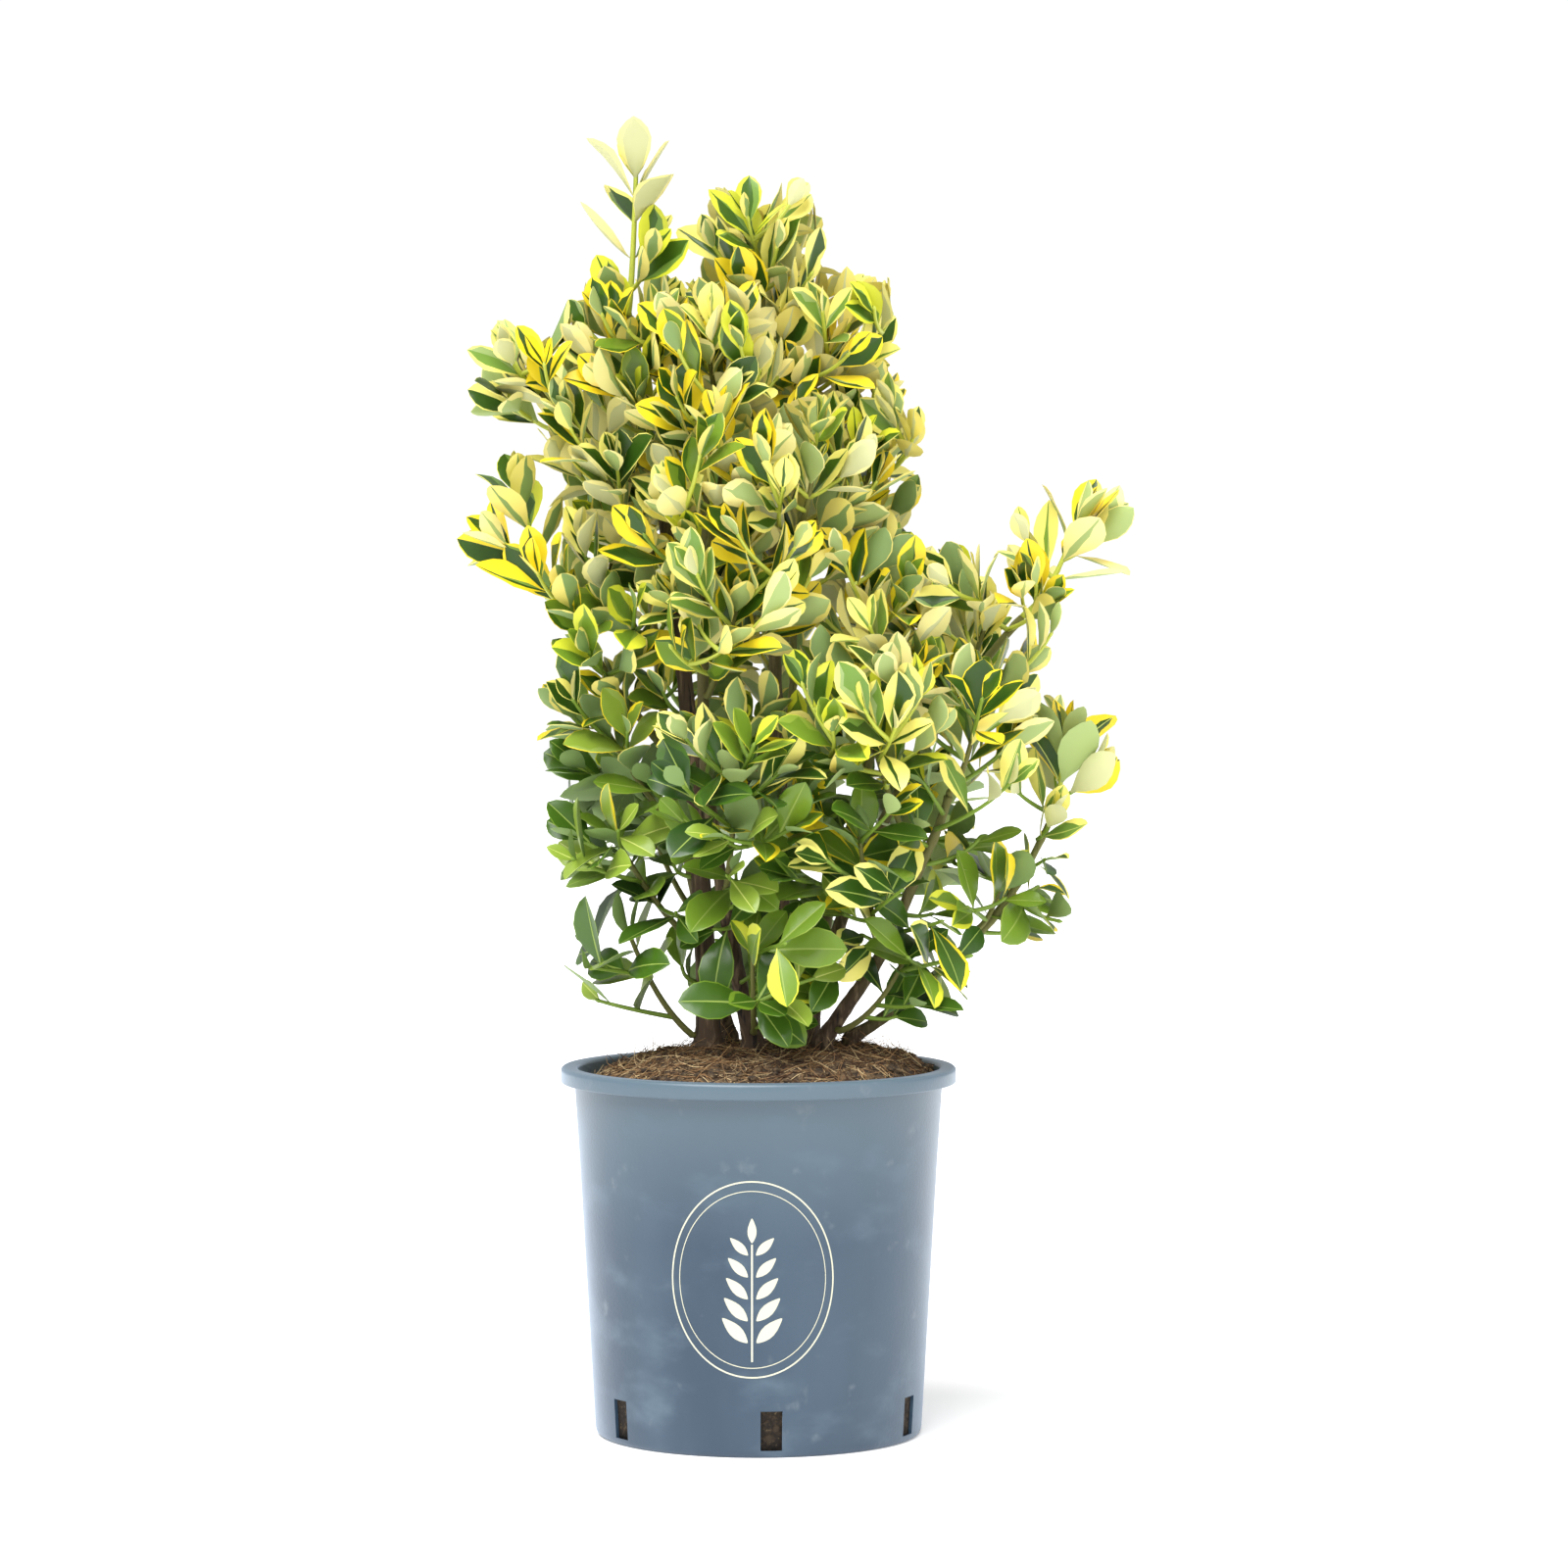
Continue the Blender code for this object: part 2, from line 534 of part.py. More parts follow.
def twig_bmesh(chain):
    """A three-sided twig: a triangle drawn out along the chain."""
    shape = bmesh.new()
    bmesh.ops.create_circle(shape, cap_ends=True, segments=TWIG_SIDES, radius=1.0)
    frames = []
    side = (chain[1][0] - chain[0][0]).orthogonal()
    for index, (point, radius) in enumerate(chain):
        come = (point - chain[max(index - 1, 0)][0]).normalized()
        leave = (chain[min(index + 1, len(chain) - 1)][0] - point).normalized()
        run = (come + leave).normalized()
        side = (side - run * side.dot(run)).normalized()
        frame = Matrix((side, run.cross(side), run)).transposed().to_4x4()
        frame.translation = point
        frames.append(frame @ Matrix.Diagonal((radius, radius, radius, 1.0)))
    bmesh.ops.transform(shape, matrix=frames[0], verts=shape.verts)
    end = shape.faces[:][0]
    for index, (before, after) in enumerate(zip(frames, frames[1:])):
        grown = bmesh.ops.extrude_face_region(shape, geom=[end])["geom"]
        fresh = [item for item in grown if isinstance(item, bmesh.types.BMVert)]
        if index:
            bmesh.ops.delete(shape, geom=[end], context="FACES_ONLY")
        end = next(item for item in grown if isinstance(item, bmesh.types.BMFace))
        bmesh.ops.transform(shape, matrix=after @ before.inverted(), verts=fresh)
    bmesh.ops.recalc_face_normals(shape, faces=shape.faces)
    return shape


def within(point, mass, stretch):
    """True if the point is inside the mass's rounded box, stretched about its centre."""
    share = 0.0
    for value, middle, reach in zip(point, mass.centre, mass.reach):
        share += abs((value - middle) / (reach * stretch)) ** SPACE_SQUARENESS
    return share <= 1.0


class Space:
    """Where one mass may grow: inside the crown, nearest to its own centre and clear of other pieces."""

    def __init__(self, mass, guards):
        self.mass = mass
        self.centre = Vector(mass.centre)
        self.guards = guards
        self.near = [
            other for other in MASSES if (Vector(other.centre) - self.centre).length < NEIGHBOUR_DISTANCE
        ]
        self.rivals = [Vector(other.centre) for other in self.near if other.name != mass.name]
        self.grown = []
        self.blades = []

    def holds_point(self, point):
        """True if the point is inside the crown and, but for the interlock, nearest to this centre."""
        if not within(point, self.mass, OVERREACH):
            return False
        if not any(within(point, other, 1.0) for other in self.near):
            return False
        offset = point - self.centre
        for rival in self.rivals:
            way = rival - self.centre
            gap = way.length
            if offset.dot(way) / gap > gap / 2 + INTERLOCK:
                return False
        return True

    def open_point(self, rng):
        """A point for a shoot's tip, the farthest from the blades grown so far among a few at random."""
        shade = shade_at(self.centre.z)
        best, best_gap = None, -1.0
        for _ in range(SHOOT_CHOICES):
            lift = rng.uniform(mixed(SHOOT_LOWEST, shade), mixed(SHOOT_HIGHEST, shade))
            share = (rng.uniform(-1.0, 1.0), rng.uniform(-1.0, 1.0), lift)
            point = self.centre + scaled(share, self.mass.reach) * OVERREACH
            if not self.holds_point(point):
                continue
            gap = min(((point - blade).length for blade in self.blades), default=1.0)
            if gap > best_gap:
                best, best_gap = point, gap
        return best

    def misses_guards(self, shape):
        """True if the shape touches no limb, other stem, pot, mix or mass that has grown already."""
        tree = BVHTree.FromBMesh(shape)
        return not any(tree.overlap(guard) for guard in self.guards)

    def takes_twig(self, twig):
        """True if the twig lies in the space and misses the guards."""
        return all(self.holds_point(v.co) for v in twig.verts) and self.misses_guards(twig)

    def takes_leaf(self, leaf):
        """True if the leaf lies in the space, and all but its root misses what has grown there too."""
        if not all(self.holds_point(corner) for corner in leaf_corners(leaf).values()):
            return False
        blade = leaf_bmesh(leaf)
        root = LEAF_FREE_FROM * leaf.length
        past_root = leaf_bmesh(leaf._replace(base=leaf.base + leaf.axis * root, length=leaf.length - root))
        tree = BVHTree.FromBMesh(past_root)
        free = not any(tree.overlap(other) for other in self.grown) and self.misses_guards(blade)
        blade.free()
        past_root.free()
        return free

    def keep(self, shape):
        """Remember a piece that has grown here."""
        self.grown.append(BVHTree.FromBMesh(shape))


def fitted_leaf(space, leaf):
    """The largest form of the leaf that the space takes, or None."""
    for share in LEAF_FITS:
        trial = leaf._replace(length=leaf.length * share, width=leaf.width * share)
        if space.takes_leaf(trial):
            space.blades.append(trial.base + trial.axis * trial.length / 2)
            return leaf_bmesh(trial)
    return None


def leafy_shoot(space, chain, twig, fewest, most, rng):
    """The shoot's twig and the leaves that fit on it, or nothing if fewer than fewest do."""
    shapes = [] if twig is None else [twig]
    for shape in shapes:
        space.keep(shape)
    known = len(space.blades)
    bare = len(shapes)
    outward = chain[-1][0] - space.centre
    if outward.xy.length < SEAT_GAP:
        outward = Vector((0.0, -1.0, 0.0))
    sideways = Matrix.Rotation(math.pi / 2 + rng.uniform(-SIDE_PLAY, SIDE_PLAY), 3, "Z") @ outward
    sideways.z = 0.0
    for leaf in leaves_of_shoot(chain, sideways.normalized(), rng):
        blade = fitted_leaf(space, leaf) if len(shapes) - bare < most else None
        if blade is not None:
            space.keep(blade)
            shapes.append(blade)
    if len(shapes) - bare >= fewest:
        return shapes
    for shape in shapes:
        space.grown.pop()
        shape.free()
    del space.blades[known:]
    return []


def grow_mass(mass, stem, guards, seed):
    """The bmeshes of one mass, its stem first, then the shoots and leaves that fit, and the leaf count."""
    rng = random.Random(seed)
    space = Space(mass, guards)
    shapes = [twig_bmesh(stem)]
    space.keep(shapes[0])
    shapes += leafy_shoot(space, stem[-3:], None, 0, mass.leaves, rng)
    for number in range(SHOOT_TRIES):
        tip = space.open_point(rng)
        if tip is None or len(space.blades) >= mass.leaves:
            continue
        chain = shoot_to(tip, stem, space.centre, rng)
        twig = twig_bmesh(chain)
        if (chain[1][0] - chain[0][0]).length > SHOOT_LONGEST or not space.takes_twig(twig):
            twig.free()
            continue
        fewest = FEWEST_LEAVES[number * len(FEWEST_LEAVES) // SHOOT_TRIES]
        shapes += leafy_shoot(space, chain, twig, fewest, mass.leaves - len(space.blades), rng)
    return shapes, len(space.blades)


def fullest_growth(mass, stem, guards, seed):
    """The bmeshes and leaf count of the first growth that is full enough, or else of the fullest of a few."""
    best, most = [], -1
    for number in range(GROWTH_CHOICES):
        shapes, count = grow_mass(mass, stem, guards, seed + number * SEED_STEP)
        if count > most:
            best, shapes, most = shapes, best, count
        for shape in shapes:
            shape.free()
        if most >= FULL_SHARE * mass.leaves:
            break
    return best, most


def shells(shape):
    """The bmesh's connected sets of faces."""
    left = set(shape.faces)
    found = []
    while left:
        front = [left.pop()]
        shell = list(front)
        while front:
            face = front.pop()
            for edge in face.edges:
                fresh = [other for other in edge.link_faces if other in left]
                left.difference_update(fresh)
                front.extend(fresh)
                shell.extend(fresh)
        found.append(shell)
    return found


def keep_outer_shell(mesh):
    """Drop the mesh's loose scraps and the walls of hollows that joining has sealed."""
    shape = bmesh.new()
    shape.from_mesh(mesh)
    found = sorted(shells(shape), key=len)
    spare = [face for shell in found[:-1] for face in shell]
    if spare:
        bmesh.ops.delete(shape, geom=spare, context="FACES")
        shape.to_mesh(mesh)
    shape.free()


def joined(name, shapes, collection, material):
    """One closed body from overlapping shapes, by a single Boolean union on a collection."""
    parts = new_collection(name + "_parts")
    base = object_from_bmesh(shapes[0].copy(), name + "_stem", collection)
    for index, shape in enumerate(shapes[1:]):
        object_from_bmesh(shape.copy(), f"{name}_piece_{index}", parts)
    union = base.modifiers.new("union", "BOOLEAN")
    union.operation = "UNION"
    union.operand_type = "COLLECTION"
    union.collection = parts
    union.solver = "EXACT"
    bpy.context.view_layer.update()
    graph = bpy.context.evaluated_depsgraph_get()
    mesh = bpy.data.meshes.new_from_object(base.evaluated_get(graph))
    mesh.name = name
    keep_outer_shell(mesh)
    for obj in list(parts.objects):
        bpy.data.objects.remove(obj)
    bpy.data.collections.remove(parts)
    bpy.data.objects.remove(base)
    mesh.materials.clear()
    mesh.materials.append(material)
    obj = bpy.data.objects.new(name, mesh)
    collection.objects.link(obj)
    return obj


def is_sound(obj, shapes):
    """True if the body is closed and holds nearly all of the volume of the shapes that were joined."""
    shape = bmesh.new()
    shape.from_mesh(obj.data)
    closed = bool(shape.faces) and all(len(edge.link_faces) == 2 for edge in shape.edges)
    volume = shape.calc_volume(signed=True)
    shape.free()
    return closed and volume > SOUND_SHARE * sum(piece.calc_volume(signed=True) for piece in shapes)


def sound_mass(mass, stem, guards, seed, collection, material):
    """The joined mass and its leaf count. It grows again from another seed where joining fails."""
    for attempt in range(GROWTH_ATTEMPTS):
        shapes, count = fullest_growth(mass, stem, guards, seed + attempt * len(MASSES))
        obj = joined(mass.name, shapes, collection, material)
        sound = is_sound(obj, shapes)
        for shape in shapes:
            shape.free()
        if sound:
            return obj, count
        print(f"{mass.name}: attempt {attempt} can't be joined")
        bpy.data.objects.remove(obj)
    raise RuntimeError(f"{mass.name} can't be joined: give it fewer leaves")


def make_masses(collection, limbs, solids, materials):
    """Every mass of foliage, each kept out of the others, the limbs, the pot and the mix."""
    stems = {}
    for mass in MASSES:
        root, way = seat_on(limbs[mass.limb], mass.share, Vector(mass.centre))
        stems[mass.name] = stem_of_mass(mass, root, way)
    limb_guards = [guard_tree(path, CLEAR_GAP) for path, _ in limbs.values()]
    stem_guards = {name: guard_tree(chain, CLEAR_GAP) for name, chain in stems.items()}
    grown_guards = []
    total = 0
    for seed, mass in enumerate(MASSES):
        others = [tree for name, tree in stem_guards.items() if name != mass.name]
        guards = limb_guards + solids + others + grown_guards
        material = materials["leaf_" + mass.tint]
        obj, count = sound_mass(mass, stems[mass.name], guards, seed, collection, material)
        bpy.context.view_layer.update()
        grown_guards.append(tree_of(obj))
        total += count
        print(f"{mass.name}: {count} leaves, {len(obj.data.polygons)} faces")
    print(f"{total} leaves in all")


def main():
    """Build the pot, the mix, the limbs and the foliage."""
    clear_scene()
    plant = new_collection("potted_spindle")
    cutters = new_collection("cutters")
    materials = make_materials()
    pot = make_pot(plant, cutters, materials["pot_plastic"])
    mix = make_mix(plant, materials["potting_mix"])
    bpy.context.view_layer.update()
    solids = [tree_of(pot), tree_of(mix)]
    limbs = make_limbs(plant, materials["bark"])
    make_masses(plant, limbs, solids, materials)


main()
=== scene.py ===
"""Looks of a golden-edged Japanese spindle, an evergreen shrub of many stems in a round nursery pot.

Metres, +Z up, -Y towards the viewer and +X to the viewer's right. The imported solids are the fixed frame.
The pot, the potting mix and every limb are modelled again with their fine surface. Each mass of foliage grows
again from its limb by the same rule as its solid, with finer twigs and leaves of the real size.
"""

import logging
import math
import random
from collections.abc import Callable, Iterable
from dataclasses import dataclass, field, fields
from enum import Enum

import bmesh
import bpy
import numpy as np
from mathutils import Matrix, Vector, noise


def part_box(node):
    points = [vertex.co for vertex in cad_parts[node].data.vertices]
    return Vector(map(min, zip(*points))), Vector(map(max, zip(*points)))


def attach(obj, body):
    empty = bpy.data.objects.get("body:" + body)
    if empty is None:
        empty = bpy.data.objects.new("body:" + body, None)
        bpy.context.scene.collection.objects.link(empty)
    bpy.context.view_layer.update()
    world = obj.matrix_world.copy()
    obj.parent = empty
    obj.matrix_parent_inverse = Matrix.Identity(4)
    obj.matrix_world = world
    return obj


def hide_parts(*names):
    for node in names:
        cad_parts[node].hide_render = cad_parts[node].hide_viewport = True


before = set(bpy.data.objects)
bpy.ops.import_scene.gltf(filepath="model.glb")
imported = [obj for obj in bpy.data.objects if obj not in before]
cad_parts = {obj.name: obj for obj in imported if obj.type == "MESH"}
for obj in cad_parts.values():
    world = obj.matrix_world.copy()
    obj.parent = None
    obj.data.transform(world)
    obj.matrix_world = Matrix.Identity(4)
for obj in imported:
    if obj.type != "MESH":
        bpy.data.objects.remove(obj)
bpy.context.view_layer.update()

BODY = "root"
LOG = logging.getLogger("spindle")
Z_AXIS = Vector((0.0, 0.0, 1.0))
TINY = 1e-12
ASKEW = (0.31, 0.52, 0.79)
WELD = 0.00002

BMesh = bmesh.types.BMesh
Material = bpy.types.Material
Object = bpy.types.Object
Socket = bpy.types.NodeSocket
Array = np.ndarray
Random = random.Random
Colour = tuple[int, int, int]
Span = tuple[float, float]
Triple = tuple[float, float, float]


def linear(colour: Colour) -> tuple[float, float, float, float]:
    """The linear colour that a shader takes, with an alpha of 1, from a display colour of 0 to 255."""
    shares = [value / 255.0 for value in colour]
    return (*(s / 12.92 if s <= 0.04045 else ((s + 0.055) / 1.055) ** 2.4 for s in shares), 1.0)


@dataclass(frozen=True)
class Pair:
    """A value for the sunny crown and one for the shaded foot of the plant."""

    sun: float
    shade: float

    def at(self, share: float) -> float:
        """The value at a share, where 0 is sunny and 1 is shaded."""
        return self.sun + (self.shade - self.sun) * share


class Piece:
    """A finished mesh object that stands for solids of the frame."""

    @staticmethod
    def place(shape: BMesh, name: str, materials: Iterable[Material], smooth: bool = True) -> Object:
        """Turn a bmesh into an object that rides with the plant.

        Args:
            shape: The finished bmesh, which is freed.
            name: The object's name.
            materials: Its materials, in slot order.
            smooth: Whether its faces are shaded smooth.

        Returns:
            The new object.
        """
        mesh = bpy.data.meshes.new(name)
        for face in shape.faces:
            face.smooth = smooth
        shape.to_mesh(mesh)
        shape.free()
        return Piece.from_mesh(mesh, name, materials)

    @staticmethod
    def from_mesh(mesh: bpy.types.Mesh, name: str, materials: Iterable[Material]) -> Object:
        """Make an object of a mesh, let it ride with the plant and report it.

        Args:
            mesh: The finished mesh.
            name: The object's name.
            materials: Its materials, in slot order.

        Returns:
            The new object.
        """
        for material in materials:
            mesh.materials.append(material)
        piece = bpy.data.objects.new(name, mesh)
        bpy.context.scene.collection.objects.link(piece)
        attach(piece, BODY)
        LOG.info("%s: %d faces", name, len(mesh.polygons))
        return piece


@dataclass
class Joined:
    """Many small things gathered into the arrays of one mesh."""

    parts: list[tuple[Array, ...]] = field(default_factory=list)
    count: int = 0

    def add(self, points: Array, corners: Array, sizes: Array, slots: Array, rim: Array) -> None:
        """Add one thing by its vertices, face corners, face sizes and slots, and the marks of its rim."""
        self.parts.append((points, corners + self.count, sizes, slots, rim))
        self.count += len(points)

    def build(self, name: str, materials: Iterable[Material]) -> Object:
        """Make one object of all that was added.

        Args:
            name: The object's name.
            materials: Its materials, in slot order.

        Returns:
            The new object.
        """
        points, corners, sizes, slots, rims = (np.concatenate(kind) for kind in zip(*self.parts))
        mesh = bpy.data.meshes.new(name)
        mesh.vertices.add(len(points))
        mesh.vertices.foreach_set("co", points.astype(np.float32).ravel())
        mesh.loops.add(len(corners))
        mesh.loops.foreach_set("vertex_index", corners.astype(np.int32))
        mesh.polygons.add(len(sizes))
        mesh.polygons.foreach_set("loop_start", (np.cumsum(sizes) - sizes).astype(np.int32))
        mesh.polygons.foreach_set("material_index", slots.astype(np.int32))
        mesh.polygons.foreach_set("use_smooth", np.ones(len(sizes), bool))
        mesh.update(calc_edges=True)
        ends = np.zeros(len(mesh.edges) * 2, np.int32)
        mesh.edges.foreach_get("vertices", ends)
        sharp = mesh.attributes.new("sharp_edge", "BOOLEAN", "EDGE")
        sharp.data.foreach_set("value", rims[ends.reshape(-1, 2)].all(axis=1))
        return Piece.from_mesh(mesh, name, materials)


class NodeTree:
    """A thin helper that adds and links shader nodes."""

    def __init__(self, tree: bpy.types.NodeTree) -> None:
        """Work on a tree."""
        self.tree = tree

    def add(self, kind: str, **values: object) -> bpy.types.Node:
        """Add a node.

        Args:
            kind: The node's type without its ShaderNode prefix.
            **values: Properties of the node.

        Returns:
            The new node.
        """
        made = self.tree.nodes.new("ShaderNode" + kind)
        for name, value in values.items():
            setattr(made, name, value)
        return made

    def link(self, out: Socket, into: Socket) -> None:
        """Link an output to an input."""
        self.tree.links.new(out, into)

    def mix(self, factor: Socket, first: object, second: object) -> Socket:
        """Mix two colours, each a socket or a display colour.

        Args:
            factor: What drives the mix.
            first: The colour where the factor is 0.
            second: The colour where the factor is 1.

        Returns:
            The mixed colour.
        """
        made = self.add("Mix", data_type="RGBA")
        self.link(factor, made.inputs["Factor"])
        for name, value in (("A", first), ("B", second)):
            socket = next(s for s in made.inputs if s.name == name and s.type == "RGBA")
            if isinstance(value, Socket):
                self.link(value, socket)
            else:
                socket.default_value = linear(value)
        return next(s for s in made.outputs if s.type == "RGBA")


@dataclass(frozen=True)
class Mottle:
    """A cloudy mask from 0 to 1, stretched along any axis, made by one node group for every finish."""

    scale: float
    low: float
    high: float
    stretch: Triple = (1.0, 1.0, 1.0)
    detail: float = 4.0

    GROUP = "cloudy_mask"

    @classmethod
    def group(cls) -> bpy.types.NodeTree:
        """Make the group, or find it if it is there already."""
        if cls.GROUP in bpy.data.node_groups:
            return bpy.data.node_groups[cls.GROUP]
        group = bpy.data.node_groups.new(cls.GROUP, "ShaderNodeTree")
        for name in ("Scale", "Detail", "Low", "High"):
            group.interface.new_socket(name, in_out="INPUT", socket_type="NodeSocketFloat")
        group.interface.new_socket("Stretch", in_out="INPUT", socket_type="NodeSocketVector")
        group.interface.new_socket("Mask", in_out="OUTPUT", socket_type="NodeSocketFloat")
        nodes = NodeTree(group)
        came = group.nodes.new("NodeGroupInput")
        goes = group.nodes.new("NodeGroupOutput")
        place = nodes.add("TexCoord")
        stretch = nodes.add("VectorMath", operation="MULTIPLY")
        cloud = nodes.add("TexNoise")
        spread = nodes.add("MapRange", interpolation_type="SMOOTHSTEP")
        nodes.link(place.outputs["Object"], stretch.inputs[0])
        nodes.link(came.outputs["Stretch"], stretch.inputs[1])
        nodes.link(stretch.outputs["Vector"], cloud.inputs["Vector"])
        nodes.link(came.outputs["Scale"], cloud.inputs["Scale"])
        nodes.link(came.outputs["Detail"], cloud.inputs["Detail"])
        nodes.link(cloud.outputs["Fac"], spread.inputs["Value"])
        nodes.link(came.outputs["Low"], spread.inputs["From Min"])
        nodes.link(came.outputs["High"], spread.inputs["From Max"])
        nodes.link(spread.outputs["Result"], goes.inputs["Mask"])
        return group

    def mask(self, nodes: NodeTree) -> Socket:
        """Place the group in a material with this mask's values.

        Args:
            nodes: The material's nodes.

        Returns:
            The mask.
        """
        made = nodes.add("Group")
        made.node_tree = self.group()
        fill(made, {value.name.title(): getattr(self, value.name) for value in fields(self)})
        return made.outputs["Mask"]


def fill(node: bpy.types.Node, values: dict[str, object]) -> None:
    """Give a node's inputs their plain values."""
    for name, value in values.items():
        node.inputs[name].default_value = value


def bare_material(name: str) -> tuple[Material, NodeTree, bpy.types.Node]:
    """Make a material with one Principled shader.

    Args:
        name: The material's name.

    Returns:
        The material, its nodes and its shader.
    """
    material = bpy.data.materials.new(name)
    material.use_nodes = True
    nodes = NodeTree(material.node_tree)
    return material, nodes, material.node_tree.nodes["Principled BSDF"]


def bump(nodes: NodeTree, shader: bpy.types.Node, height: Socket, strength: float, distance: float) -> None:
    """Feed a height to the shader's normal.

    Args:
        nodes: The material's nodes.
        shader: The shader.
        height: The height, from 0 to 1.
        strength: How strong the bump is.
        distance: How high 1 stands, in metres.
    """
    made = nodes.add("Bump")
    fill(made, {"Strength": strength, "Distance": distance})
    nodes.link(height, made.inputs["Height"])
    nodes.link(made.outputs["Normal"], shader.inputs["Normal"])


def rise_mask(nodes: NodeTree, low: float, high: float) -> Socket:
    """A mask that grows with the height on the piece.

    Args:
        nodes: The material's nodes.
        low: Height that gives 0.
        high: Height that gives 1.

    Returns:
        The mask.
    """
    place, split = nodes.add("TexCoord"), nodes.add("SeparateXYZ")
    spread = nodes.add("MapRange")
    fill(spread, {"From Min": low, "From Max": high})
    nodes.link(place.outputs["Object"], split.inputs["Vector"])
    nodes.link(split.outputs["Z"], spread.inputs["Value"])
    return spread.outputs["Result"]


@dataclass(frozen=True)
class PlainFinish:
    """One plain colour of a leaf, a twig or a fibre."""

    name: str
    colour: Colour
    roughness: float
    specular: float = 0.4

    def make(self) -> Material:
        """Make the material."""
        material, _, shader = bare_material(self.name)
        fill(shader, {"Base Color": linear(self.colour), "Roughness": self.roughness})
        fill(shader, {"Specular IOR Level": self.specular})
        return material


@dataclass(frozen=True)
class PlasticFinish:
    """Blue-grey pot plastic: faint clouds, painted light that pales the upper wall, a soft haze, dust with a
    pale sheen and a fine grain.
    """

    name: str = "pot_plastic"
    body: Colour = (43, 63, 82)
    pale: Colour = (57, 77, 95)
    clouds: Mottle = Mottle(9.0, 0.35, 0.65, (1.0, 1.0, 0.5))
    # Painted light: a paler colour on the upper wall under the rim, as if lit from above, and the heights
    # where it comes in.
    faded: Colour = (86, 104, 116)
    fade_heights: Span = (0.15, 0.262)
    haze: Colour = (84, 104, 120)
    hazes: Mottle = Mottle(24.0, 0.5, 0.85, (0.7, 0.7, 1.3), 7.0)
    dust: Colour = (112, 122, 130)
    specks: Mottle = Mottle(46.0, 0.62, 0.84, detail=8.0)
    sheen: Colour = (190, 214, 244)
    sheen_weight: float = 0.5
    sheen_roughness: float = 0.35
    roughness: float = 0.32
    dusty_roughness: float = 0.52
    grain: Mottle = Mottle(420.0, 0.3, 0.7)
    grain_strength: float = 0.12
    grain_height: float = 0.0004

    def make(self) -> Material:
        """Make the material."""
        material, nodes, shader = bare_material(self.name)
        dust = self.specks.mask(nodes)
        colour = nodes.mix(self.clouds.mask(nodes), self.body, self.pale)
        # Painted light: the wall pales towards the rim.
        colour = nodes.mix(rise_mask(nodes, *self.fade_heights), colour, self.faded)
        colour = nodes.mix(self.hazes.mask(nodes), colour, self.haze)
        colour = nodes.mix(dust, colour, self.dust)
        nodes.link(colour, shader.inputs["Base Color"])
        rough = nodes.add("MapRange")
        fill(rough, {"To Min": self.roughness, "To Max": self.dusty_roughness})
        nodes.link(dust, rough.inputs["Value"])
        nodes.link(rough.outputs["Result"], shader.inputs["Roughness"])
        fill(shader, {"Sheen Weight": self.sheen_weight, "Sheen Roughness": self.sheen_roughness})
        fill(shader, {"Sheen Tint": linear(self.sheen)})
        bump(nodes, shader, self.grain.mask(nodes), self.grain_strength, self.grain_height)
        return material


@dataclass(frozen=True)
class MixFinish:
    """Dark, crumbly potting mix, with painted shade that darkens it towards the pot's foot, where only the
    slots show it.
    """

    name: str = "potting_mix"
    dark: Colour = (52, 40, 30)
    brown: Colour = (104, 84, 60)
    crumbs: Mottle = Mottle(190.0, 0.4, 0.62, detail=6.0)
    pale: Colour = (170, 146, 110)
    flecks: Mottle = Mottle(330.0, 0.6, 0.72)
    # Painted shade: the near-black colour the mix darkens to low in the pot, where it lies in shadow behind
    # the slots.
    deep: Colour = (22, 18, 15)
    lit_heights: Span = (-0.1, 0.252)
    roughness: float = 0.95
    crumb_strength: float = 0.8
    crumb_height: float = 0.002

    def make(self) -> Material:
        """Make the material."""
        material, nodes, shader = bare_material(self.name)
        crumbs = self.crumbs.mask(nodes)
        colour = nodes.mix(crumbs, self.dark, self.brown)
        colour = nodes.mix(self.flecks.mask(nodes), colour, self.pale)
        # Painted shade: darker below the lit heights, towards the pot's foot.
        colour = nodes.mix(rise_mask(nodes, *self.lit_heights), self.deep, colour)
        nodes.link(colour, shader.inputs["Base Color"])
        fill(shader, {"Roughness": self.roughness})
        bump(nodes, shader, crumbs, self.crumb_strength, self.crumb_height)
        return material


@dataclass(frozen=True)
class BarkFinish:
    """Bark with long ridges and fissures. The attribute runs from 0, young and green, to 1, old and brown."""

    name: str = "bark"
    old: Colour = (78, 61, 45)
    ridge: Colour = (126, 105, 82)
    ridges: Mottle = Mottle(260.0, 0.48, 0.66, (1.0, 1.0, 0.1), 5.0)
    fissure: Colour = (34, 26, 20)
    fissures: Mottle = Mottle(190.0, 0.56, 0.68, (1.0, 1.0, 0.07), 6.0)
    young: Colour = (112, 112, 60)
    attribute: str = "age"
    roughness: float = 0.85
    ridge_strength: float = 0.6
    ridge_height: float = 0.0008

    def make(self) -> Material:
        """Make the material."""
        material, nodes, shader = bare_material(self.name)
        ridges = self.ridges.mask(nodes)
        colour = nodes.mix(ridges, self.old, self.ridge)
        colour = nodes.mix(self.fissures.mask(nodes), colour, self.fissure)
        age = nodes.add("Attribute", attribute_name=self.attribute)
        colour = nodes.mix(age.outputs["Fac"], self.young, colour)
        nodes.link(colour, shader.inputs["Base Color"])
        fill(shader, {"Roughness": self.roughness})
        bump(nodes, shader, ridges, self.ridge_strength, self.ridge_height)
        return material


